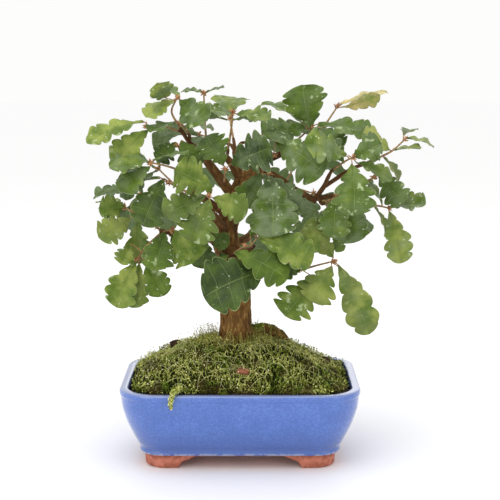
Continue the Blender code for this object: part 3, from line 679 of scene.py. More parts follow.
def stems(paths, radii, look):
    """Tubes along paths (n, k, 3) with radii (n, k): points radius x (cos, sin) in the plane across."""
    count, steps = paths.shape[:2]
    along = unit(np.gradient(paths, axis=1))
    helper = np.where(np.abs(along[..., 2:3]) > 0.9, [1.0, 0, 0], [0, 0, 1.0])
    across = unit(np.cross(along, helper))
    other = np.cross(along, across)
    turn = 2 * np.pi * np.arange(STEM_SIDES) / STEM_SIDES
    circle = across[:, :, None] * np.cos(turn)[:, None] + other[:, :, None] * np.sin(turn)[:, None]
    points = paths[:, :, None] + circle * radii[:, :, None, None]
    quads = grid_faces(steps, STEM_SIDES, wrap=True)
    quads = quads[None] + steps * STEM_SIDES * np.arange(count)[:, None, None]
    ends = np.stack([np.arange(STEM_SIDES)[::-1], (steps - 1) * STEM_SIDES + np.arange(STEM_SIDES)])
    ends = ends[None] + steps * STEM_SIDES * np.arange(count)[:, None, None]
    return {
        "points": points.reshape(-1, 3),
        "faces": [quads.reshape(-1, 4), ends.reshape(-1, STEM_SIDES)],
        "look": np.repeat(look, steps * STEM_SIDES, axis=0),
    }


def random_rows(count, *ranges):
    """A column of even random numbers for each (low, high)."""
    return np.stack([rng.uniform(low, high, count) for low, high in ranges], axis=-1)


def on_mound(count, reach):
    """Random plan points inside the pot, even over its area: share = reach x root of a random number."""
    share = reach * np.sqrt(rng.uniform(0, 1, count))
    x, y = pot_outline(GRAIN_INSET, GRAIN_AROUND)
    index = rng.integers(0, GRAIN_AROUND, count)
    return TREE_X + (x[index] - TREE_X) * share, y[index] * share


def any_way(count, *ranges):
    """Half axes that lie any way round, with a random length for each (low, high)."""
    along = rng.normal(size=(count, 3))
    up = rng.normal(size=(count, 3))
    return axes_along(along, up, random_rows(count, *ranges))


def random_axes(count, size):
    """Half axes of lumps of a size, each a little different along its three axes."""
    return any_way(count, (0.7, 1.2), (0.6, 1), (0.5, 0.9)) * np.reshape(size, (-1, 1, 1))


def looks(count, low=0.0, high=1.0, second=0.0, third=0.0):
    """Named numbers for the finish: a random first value and fixed others."""
    fixed = np.ones((count, 1)) * [second, third, 1.0]
    return np.column_stack([rng.uniform(low, high, count), fixed])


print("a small shape has", len(OCTAHEDRON_FACES), "faces")

# %% [markdown]
# ### Grains and the soil's finish
# Most grains are dust and only a few are large, so a grain's size grows as the cube of a random number.

# %% Soil grains and the finished soil
GRAIN_COUNT = 2600
GRAIN_INSET = 12.0
GRAIN_AROUND = 512
GRAIN_REACH = 0.985
grain_x, grain_y = on_mound(GRAIN_COUNT, GRAIN_REACH)
grain_size = 0.6 + 1.9 * rng.uniform(0, 1, len(grain_x)) ** 3
grain_centre = lift(grain_x, grain_y, mound(grain_x, grain_y) + 0.2)
grains = beads(grain_centre, random_axes(len(grain_x), grain_size), looks(len(grain_x)))


def soil_finish(name, dark, light):
    """Crumbly brown: two browns by noise, a reddish grain here and there, rough and bumpy."""
    finish = Finish(name)
    value = finish.look()[0]
    tone = finish.noise(260.0, 6.0).ramp(0.3, 0.72)
    colour = finish.mix(dark, light, tone * 0.7 + value * 0.3)
    colour = finish.mix(colour, (0.16, 0.07, 0.035), value.ramp(0.8, 0.95) * 0.7)
    pumice = finish.spots(600.0).ramp(0.04, 0.12, 1.0, 0.0)
    colour = finish.mix(colour, (0.3, 0.25, 0.17), pumice * 0.4)
    return finish.done(
        Base_Color=colour,
        Roughness=finish.noise(500.0, 2.0).ramp(0.2, 0.8, 0.8, 1.0),
        Specular_IOR_Level=0.1,
        Normal=finish.bump(finish.noise(700.0, 6.0), 0.0012, 0.8),
    )


soil_material = soil_finish("potting_soil", (0.012, 0.008, 0.005), (0.075, 0.045, 0.026))
soil = piece_from("soil_dome", [soil_part, grains], [soil_material])
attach(soil, "root")
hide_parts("soil")

# %% [markdown]
# ## Moss
# Kyoto moss is a carpet of upright shoots a few millimetres tall, with fine red-brown fruiting stalks
# above it.  The carpet gives the lie of it and hides the soil, thousands of small leaflets make its
# nap, and weeds and stalks grow out of it.

# %% Moss carpet
MOSS_ROWS = 73
MOSS_AROUND = 420
MOSS_INSET = 11.5
# the skin below the carpet is hidden, so it takes only every ninth row
UNDER_STEP = 9
EDGE_DROP = 4.5


def moss_share(turn):
    """How far to the wall the moss reaches: 1 less a part at either end, plus three small waves."""
    lobes = 0.012 * np.sin(5 * turn + 0.6) + 0.014 * np.sin(9 * turn) + 0.012 * np.sin(23 * turn)
    left_gap = 0.05 * np.maximum(0.0, -np.cos(turn)) ** 2
    right_gap = 0.035 * np.maximum(0.0, np.cos(turn)) ** 2
    return 1.0 - left_gap - right_gap + lobes


def clumps(points):
    """The carpet's broad unevenness: 1.3 mm x noise in cells of 9 mm."""
    return 1.3 * noise(points, 9.0, 3)


around_x, around_y = pot_outline(MOSS_INSET, MOSS_AROUND)
moss_turn = np.arctan2(around_y, around_x)
reach = moss_share(moss_turn) * np.linspace(1.0, 0.03, MOSS_ROWS)[:, None]
carpet_x = TREE_X + (around_x - TREE_X) * reach
carpet_y = around_y * reach
carpet = lift(carpet_x, carpet_y, moss_top(carpet_x, carpet_y))
edge_fade = ease(np.linspace(0, 1, MOSS_ROWS), 0.0, 0.04)[:, None]
carpet_rise = edge_fade * (clumps(carpet) + 0.9 * noise(carpet, 3.2, 4))
carpet[..., 2] += carpet_rise - (1 - edge_fade) * EDGE_DROP
under = lift(carpet_x, carpet_y, mound(carpet_x, carpet_y) - 1.5)
moss_skin = np.concatenate([under[::-UNDER_STEP], carpet])
carpet_shade_look = np.zeros((moss_skin.size // 3, 4))
# the carpet's first number is kept low, so the finish makes it nearly black: painted shade between the
# leaflets
carpet_shade_look[:, 0] = 0.08 + 0.32 * noise(moss_skin, 6.0, 5).ravel()
carpet_part = {
    "points": moss_skin.reshape(-1, 3),
    "faces": [grid_faces(*moss_skin.shape[:2], wrap=True)],
    "look": carpet_shade_look,
}


def on_moss(count, reach_share=1.0, lowest=0.012):
    """Random points of the moss's top, even over its plan area and lifted to the carpet's height."""
    pick = rng.integers(0, len(around_x), count)
    share = moss_share(moss_turn[pick]) * reach_share * np.sqrt(rng.uniform(lowest, 1, count))
    x = TREE_X + (around_x[pick] - TREE_X) * share
    y = around_y[pick] * share
    points = lift(x, y, moss_top(x, y))
    points[:, 2] += clumps(points)
    return points


print("moss carpet grid:", moss_skin.shape[:2])

# %% [markdown]
# ### What grows in the carpet
# Leaflets lean every way and are left small in hollows, so that the carpet below, painted nearly black as
# shade, shows between them.
# Sprigs rise and bend over, reddish stalks stand round the trunk, straw threads lie in low arcs, and
# weeds with small cream flowers grow toward the front.

# %% Leaflets, sprigs and flowers
LEAFLET_COUNT = 22000
FRINGE_COUNT = 2600
leaflet_place = on_moss(LEAFLET_COUNT) + random_rows(LEAFLET_COUNT, (-1, 1), (-1, 1), (-0.6, 2.2))
leaflet_lean = random_rows(LEAFLET_COUNT, (-1, 1), (-1, 1), (0.15, 1.3))
leaflet_size = random_rows(LEAFLET_COUNT, (1.0, 2.6), (0.35, 0.8), (0.15, 0.3))
in_hollow = noise(leaflet_place, 6.0, 8) < -0.28
holes = np.where(in_hollow, 0.3, 1.0)
leaflet_size *= holes[:, None]
# a fringe of the same leaflets stands up against the wall of the pot
fringe_pick = rng.integers(0, MOSS_AROUND, FRINGE_COUNT)
fringe_share = rng.uniform(0.90, 0.995, FRINGE_COUNT)
fringe_x = TREE_X + (around_x[fringe_pick] - TREE_X) * fringe_share
fringe_y = around_y[fringe_pick] * fringe_share
fringe_z = moss_top(fringe_x, fringe_y) + rng.uniform(-0.5, 3.2, FRINGE_COUNT)
leaflet_place[:FRINGE_COUNT] = lift(fringe_x, fringe_y, fringe_z)
leaflet_axes = axes_along(leaflet_lean, rng.normal(size=(LEAFLET_COUNT, 3)), leaflet_size)
leaflet_look = looks(LEAFLET_COUNT)
patch = noise(leaflet_place * [1, 1, 0], 16.0, 6)
leaflet_look[:, 0] = np.clip(0.51 + 0.35 * patch + 0.33 * rng.normal(size=LEAFLET_COUNT), 0, 1)
leaflets = beads(leaflet_place, leaflet_axes, leaflet_look)


def sprigs(places, heights, lean, radius, look, steps=4):
    """Thin stems that rise from their places and bend over: sideways grows as the square of the rise."""
    share = np.linspace(0, 1, steps)[None, :, None]
    sideways = rng.normal(size=(len(places), 1, 3)) * [1, 1, 0] * lean
    up = np.array([0, 0, 1.0])
    paths = places[:, None] + heights[:, None, None] * (share * up + sideways * share**2)
    radii = radius * np.linspace(1.0, 0.45, steps)[None, :] * np.ones((len(places), 1))
    return stems(paths, radii, look), paths[:, -1]


NAP_COUNT = 2600
nap_spots = on_moss(NAP_COUNT)
nap_heights = rng.uniform(3, 8, NAP_COUNT)
nap, nap_tips = sprigs(nap_spots, nap_heights, 0.35, 0.28, looks(NAP_COUNT, 0.45, 1.0))
nap_leaves = any_way(NAP_COUNT, (1, 2), (0.5, 1), (0.2, 0.4))
nap_heads = beads(nap_tips, nap_leaves, looks(NAP_COUNT, 0.5, 1.0))

STALK_COUNT = 420
stalk_spots = on_moss(STALK_COUNT, 0.42, 0.06)
stalk_heights = rng.uniform(8, 19, STALK_COUNT)
stalk_look = looks(STALK_COUNT, 0.5, 1.0, 0.45)
stalks, stalk_tips = sprigs(stalk_spots, stalk_heights, 0.22, 0.22, stalk_look, 5)
stalk_head_axes = random_axes(STALK_COUNT, 0.75)
stalk_heads = beads(stalk_tips, stalk_head_axes, looks(STALK_COUNT, 0.4, 1.0, 0.55))

THREAD_COUNT = 520
THREAD_STEPS = 9
# threads stay inside the lip: half the run across and half the run deep
THREAD_LIMIT = np.array([112, 80])
thread_start = on_moss(THREAD_COUNT, 0.9)
thread_turn = rng.uniform(0, 2 * np.pi, (THREAD_COUNT, 1, 1))
thread_share = np.linspace(0, 1, THREAD_STEPS)[None, :, None]
thread_run = rng.uniform(8, 30, (THREAD_COUNT, 1, 1)) * thread_share
thread_way = np.concatenate([np.cos(thread_turn), 0.6 * np.sin(thread_turn), 0 * thread_turn], axis=2)
threads_path = thread_start[:, None] * [1, 1, 0] + thread_run * thread_way
threads_path += 1.6 * rng.normal(size=(THREAD_COUNT, 1, 3)) * np.sin(np.pi * thread_share)
threads_path[..., :2] = np.clip(threads_path[..., :2], -THREAD_LIMIT, THREAD_LIMIT)
rise = 1.5 + rng.uniform(1, 6, (THREAD_COUNT, 1)) * 4 * (thread_share * (1 - thread_share))[..., 0]
threads_path[..., 2] = moss_top(threads_path[..., 0], threads_path[..., 1]) + rise
thread_radii = np.full((THREAD_COUNT, THREAD_STEPS), 0.24)
threads = stems(threads_path, thread_radii, looks(THREAD_COUNT, 0.7, 1.0, 0.0, 0.5))

weed_spots = on_moss(190, 0.98, 0.25)
weed_spots = weed_spots[(weed_spots[:, 0] < 30) & (weed_spots[:, 1] < 10)]
weed_count = len(weed_spots)
weed_heights = rng.uniform(5, 11, weed_count)
weed, weed_tips = sprigs(weed_spots, weed_heights, 0.6, 0.25, looks(weed_count, 0.7, 1.0))
petal_axes = random_axes(weed_count, 1.15)
petals = beads(weed_tips, petal_axes, looks(weed_count, 0.6, 1.0, 0.0, 1.0))


def moss_finish():
    """Yellow-green by the leaflet's own number, nearly black where it is low (the carpet, painted shade) and
    pale yellow where it is high (painted highlight); reddish where the second is set, cream for flowers.
    """
    finish = Finish("moss")
    shade, reddish, cream = finish.look()
    tone = shade + finish.noise(180.0, 4.0) * 0.5 - 0.25
    green = finish.mix((0.010, 0.012, 0.002), (0.19, 0.235, 0.018), tone.ramp(0.12, 0.6))
    # the brightest leaflets go pale yellow: painted highlight
    green = finish.mix(green, (0.86, 0.88, 0.27), tone.ramp(0.56, 0.98))
    fresh_patch = finish.noise(46.0, 3.0).ramp(0.52, 0.66) * tone.ramp(0.2, 0.7)
    green = finish.mix(green, (0.15, 0.32, 0.014), fresh_patch * 0.7)
    brown_patch = finish.noise(42.0, 3.0).ramp(0.53, 0.64)
    green = finish.mix(green, (0.060, 0.038, 0.012), brown_patch * 0.75)
    colour = finish.mix(green, (0.28, 0.20, 0.055), reddish)
    colour = finish.mix(colour, (0.78, 0.74, 0.42), cream)
    return finish.done(
        Base_Color=colour,
        Roughness=finish.noise(300.0, 2.0).ramp(0.2, 0.8, 0.55, 0.8),
        Specular_IOR_Level=0.08,
        Normal=finish.bump(finish.noise(900.0, 4.0), 0.0008, 0.7),
    )


moss_material = moss_finish()
moss = piece_from("moss_carpet", [carpet_part], [moss_material])
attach(moss, "root")
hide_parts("moss")
nap_piece = piece_from("moss_leaflets", [leaflets], [moss_material])
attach(nap_piece, "root")
sprig_parts = [nap, nap_heads, stalks, stalk_heads, threads, weed, petals]
sprig_piece = piece_from("moss_sprigs", sprig_parts, [moss_material])
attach(sprig_piece, "root")

# %% [markdown]
# A tuft of the same weed hangs over the front rim: leaflets with small pale flowers along a short
# route over the lip.  Lumps of soil and a chip of bark lie on the moss.

# %% Tuft, lumps and chip
# the tuft's middle line over the lip, as x, y, z and radius
TUFT = np.array(
    [
        (-62, -80, 93, 4),
        (-66, -88, 92.5, 3.8),
        (-70, -95.5, 90.8, 3.5),
        (-72, -98.8, 82, 3.2),
        (-72, -98.2, 75, 1.8),
    ]
)
# below this height the tuft hangs in front of the wall, whose face is here
TUFT_HANGS_BELOW = 87.5
WALL_FACE_Y = -94.4
TUFT_COUNT = 900
FLORET_COUNT = 60


def along_route(route, count):
    """Random points inside a tube route: a point of the smooth path plus a random part of its radius."""
    path = smooth_path(route, 200)[rng.integers(0, 200, count)]
    offset = unit(rng.normal(size=(count, 3))) * path[:, 3:] * rng.uniform(0.1, 1, (count, 1))
    return path[:, :3] + offset * [1, 0.7, 1]


tuft_place = along_route(TUFT, TUFT_COUNT)
hanging = tuft_place[:, 2] < TUFT_HANGS_BELOW
tuft_place[hanging, 1] = np.minimum(tuft_place[hanging, 1], WALL_FACE_Y)
tuft_lean = rng.normal(size=(TUFT_COUNT, 3)) + [0, 0, -0.5]
tuft_up = rng.normal(size=(TUFT_COUNT, 3))
tuft_size = random_rows(TUFT_COUNT, (0.8, 2.2), (0.4, 0.9), (0.15, 0.35))
tuft_axes = axes_along(tuft_lean, tuft_up, tuft_size)
tuft_leaves = beads(tuft_place, tuft_axes, looks(TUFT_COUNT, 0.45, 1.0))
floret_place = along_route(TUFT, FLORET_COUNT) + [0, -0.8, 0]
floret_axes = random_axes(FLORET_COUNT, 1.0)
florets = beads(floret_place, floret_axes, looks(FLORET_COUNT, 0.7, 1.0, 0.0, 1.0))
tuft = piece_from("moss_tuft_over_rim", [tuft_leaves, florets], [moss_material])
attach(tuft, "root")
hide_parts("moss_tuft")


PEBBLE_ROWS = 28


def pebble(place, half, seed, rough=0.18):
    """A rough lump: a sphere grid scaled to its half sizes, its radius varied by two noises."""
    tilt = np.linspace(0.02, np.pi - 0.02, PEBBLE_ROWS)[:, None]
    turn = np.linspace(0, 2 * np.pi, 2 * PEBBLE_ROWS, endpoint=False)[None]
    ball = lift(np.sin(tilt) * np.cos(turn), np.sin(tilt) * np.sin(turn), np.cos(tilt))
    radius = 1 + rough * noise(ball, 0.6, seed) + 0.5 * rough * noise(ball, 0.22, seed + 1)
    points = capped(ball * radius[..., None] * np.array(half) + np.array(place))
    return flip({"points": points.reshape(-1, 3), "faces": [grid_faces(*points.shape[:2], wrap=True)]}, True)


def on_moss_at(x, y, rise):
    """A point this far above the moss's top."""
    return (x, y, float(moss_top(np.float64(x), np.float64(y))) + rise)


# name, place in plan and half sizes
LUMPS = [
    ("soil_lump_left", -72, 12, (7, 6, 5)),
    ("soil_lump_right", 94, 4, (6, 6, 4.5)),
    ("soil_lump_back", 60, 46, (6, 5, 4.5)),
]
lump_material = soil_finish("soil_lump", (0.02, 0.013, 0.008), (0.12, 0.07, 0.038))
for seed, (name, x, y, half) in enumerate(LUMPS):
    place = on_moss_at(x, y, 0.75 * half[2])
    lump = piece_from(name + "_crumb", [pebble(place, half, 20 + seed)], [lump_material])
    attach(lump, "root")
    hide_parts(name)

chip_finish = Finish("bark_chip")
chip_grain = chip_finish.noise(220.0, 5.0, (1, 1, 3)).ramp(0.3, 0.7)
chip_material = chip_finish.done(
    Base_Color=chip_finish.mix((0.16, 0.045, 0.02), (0.34, 0.12, 0.055), chip_grain),
    Roughness=chip_finish.noise(300.0, 2.0).ramp(0.2, 0.8, 0.5, 0.75),
    Normal=chip_finish.bump(chip_finish.noise(500.0, 5.0, (0.4, 1, 2)), 0.001),
)
chip_part = pebble(on_moss_at(4, -62, 2.2), (7, 5, 3.5), 31, 0.3)
chip = piece_from("bark_chip_red", [chip_part], [chip_material])
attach(chip, "root")
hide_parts("bark_chip")

# %% [markdown]
# ## Wood
# Trunk, roots, limbs and the spurs of old wood are one grown piece.  Each is a tube along a smooth
# route, with its radius varied by noise: broad swellings, then ridges drawn out along the tube for
# the fissures of oak bark.  The tubes run into each other as branches do.

# %% Routes of the wood
# each route's points are x, y, z and radius
TRUNK = [
    (-5, -4, 73, 17), (-5, -4, 105, 19), (-5, -4, 133, 18), (-5, -4, 155, 16.5), (-7, -4, 190, 15.5),
    (-14, -2, 227, 13.5), (-15, -1, 253, 11.5), (-5, 0, 283, 9), (2, -2, 307, 6.5),
]
ROOTS = {
    "root_right_arch": [
        (-2, 2, 129, 8), (20, 11, 136, 6.5), (38, 17, 132, 6), (52, 22, 118, 5.5), (60, 24, 93, 3),
    ],
    "root_left": [(-8, -6, 127, 10), (-34, -12, 111, 8), (-62, -18, 83, 5), (-80, -22, 61, 2.5)],
    "root_right": [(0, -8, 123, 9), (28, -18, 107, 7), (58, -26, 81, 4.5), (78, -30, 59, 2.5)],
    "root_front": [(-6, -10, 125, 9), (-12, -34, 109, 7), (-18, -52, 85, 4.5), (-22, -60, 59, 2.5)],
    "root_back": [(-6, 2, 125, 9), (-16, 26, 109, 7), (-24, 44, 85, 4.5), (-30, 52, 59, 2.5)],
}
LIMBS = {
    "limb_left_low": [(-14, -2, 243, 6.5), (-50, -16, 245, 5), (-76, -24, 250, 3.4)],
    "limb_left_face": [(-14, -1, 267, 5), (-40, -30, 289, 3.8), (-50, -37, 295, 2.8)],
    "limb_left_top": [(-6, 0, 285, 6), (-36, -8, 327, 4.5), (-56, -12, 348, 2.6)],
    "limb_crown": [(2, -2, 303, 5.5), (-14, -4, 329, 3.6), (-28, -4, 333, 2.4)],
    "limb_right": [(2, -2, 305, 6), (30, -14, 313, 4.5), (60, -26, 297, 3.8), (82, -24, 285, 3)],
    "limb_right_elbow": [(80, -24, 286, 2.8), (90, -27, 301, 2.6), (94, -31, 311, 2.2)],
    "limb_far_right": [(78, -24, 287, 2.6), (104, -12, 289, 2.4), (124, -8, 283, 1.8)],
    "limb_right_tip": [(89, -27, 300, 2.4), (118, -19, 318, 2.2), (139, -18, 326, 1.7)],
    "limb_top": [(2, -2, 307, 6), (24, 6, 323, 4.6), (44, 6, 333, 3), (74, 8, 343, 2)],
    "limb_low_right": [(-10, -4, 219, 6), (26, -24, 221, 4.4), (51, -34, 213, 3)],
    "limb_front_low": [(-12, -4, 227, 5), (4, -34, 231, 4.2), (10, -54, 236, 2.8)],
    "limb_front": [(-14, -2, 251, 5.5), (-22, -32, 263, 4.2), (-27, -46, 273, 3)],
    "limb_back_left": [(-14, 0, 245, 5.5), (-40, 34, 263, 4.2), (-54, 50, 273, 3.2)],
    "limb_back_right": [(-6, 1, 277, 5.5), (28, 38, 281, 4.4), (48, 56, 286, 3.2)],
    "limb_back_top": [(0, 0, 299, 5), (-4, 26, 325, 4), (-6, 38, 333, 3)],
    "limb_back_low": [(-12, 0, 231, 5), (8, 36, 237, 4), (13, 54, 241, 3)],
}


THINNEST = 0.4


def tube_part(route, steps, around, bark, seed):
    """A tube: path point + radius x (cos, sin) in the plane across, and on the radius slow swellings,
    ridges 1 - 2 |noise| drawn out along the grain, and fine noise."""
    path = smooth_path(route, steps)
    centre, radius = path[:, :3], np.maximum(path[:, 3], THINNEST)
    along = unit(np.gradient(centre, axis=0))
    helper = np.eye(3)[np.argmin(np.abs(along).max(axis=0))]
    across = unit(np.cross(along, helper))
    other = np.cross(along, across)
    turn = np.linspace(0, 2 * np.pi, around, endpoint=False)[None, :, None]
    circle = across[:, None] * np.cos(turn) + other[:, None] * np.sin(turn)
    run = np.cumsum(np.linalg.norm(np.gradient(centre, axis=0), axis=1))[:, None]
    # points of a straight bar of the same girth: noise sampled there follows the grain
    girth = radius[:, None]
    bar = lift(girth * np.cos(turn[..., 0]), girth * np.sin(turn[..., 0]), run)
    swelling = 0.10 * noise(bar, 16.0, seed) * girth
    ridges = 1 - 2 * np.abs(noise(bar * [1, 1, 0.28], 4.2, seed + 1))
    fine = noise(bar * [1, 1, 0.45], 1.5, seed + 2)
    depth = bark * np.minimum(girth / 9, 1)
    surface = girth + swelling + depth * (0.95 * ridges + 0.4 * fine)
    points = centre[:, None] + circle * surface[..., None]
    look = np.zeros((points.size // 3, 4))
    look[:, 0] = np.clip(0.5 + 0.45 * ridges + 0.15 * fine, 0, 1).ravel()
    look[:, 1] = np.repeat(1 - ease(radius, 2.0, 8.0), around)
    rows = steps * around
    ends = np.stack([np.arange(around)[::-1], rows - around + np.arange(around)])
    faces = [grid_faces(steps, around, wrap=True), ends]
    return {"points": points.reshape(-1, 3), "faces": faces, "look": look}


print("roots:", len(ROOTS), "limbs:", len(LIMBS))

# %% [markdown]
# The trunk's grid is the finest, because its bark is seen from near, and the grids grow coarser with
# the girth of the wood.

# %% Tubes of the wood
wood_parts = [tube_part(TRUNK, 220, 120, 1.25, 40)]
wood_parts += [tube_part(route, 90, 44, 1.0, 50 + index) for index, route in enumerate(ROOTS.values())]
wood_parts += [tube_part(route, 60, 22, 0.8, 60 + index) for index, route in enumerate(LIMBS.values())]
print("wood tubes:", len(wood_parts))

# %% [markdown]
# ## Shoots
# A shoot is one year's growth: a twig with its leaves, and a cluster of bud scales at its tip.  The
# table says where each twig runs and, for each leaf, the foot of its blade, its tip, its width and the
# way its upper side faces.  A shoot on the far side is a fan of three leaves from its two ends.

# %% Table of shoots
# the way a leaf's upper side faces
FRONT = (0.0, -1.0, 0.15)
FRONT_UP = (0.0, -0.8, 0.6)
FRONT_DOWN = (0.1, -1.0, 0.45)
DOWN_FRONT = (0.0, -0.7, -0.7)
TOP = (0.0, -0.15, 1.0)
TOP_FRONT = (0.0, -0.5, 0.85)
RIGHT = (0.9, -0.45, 0.3)

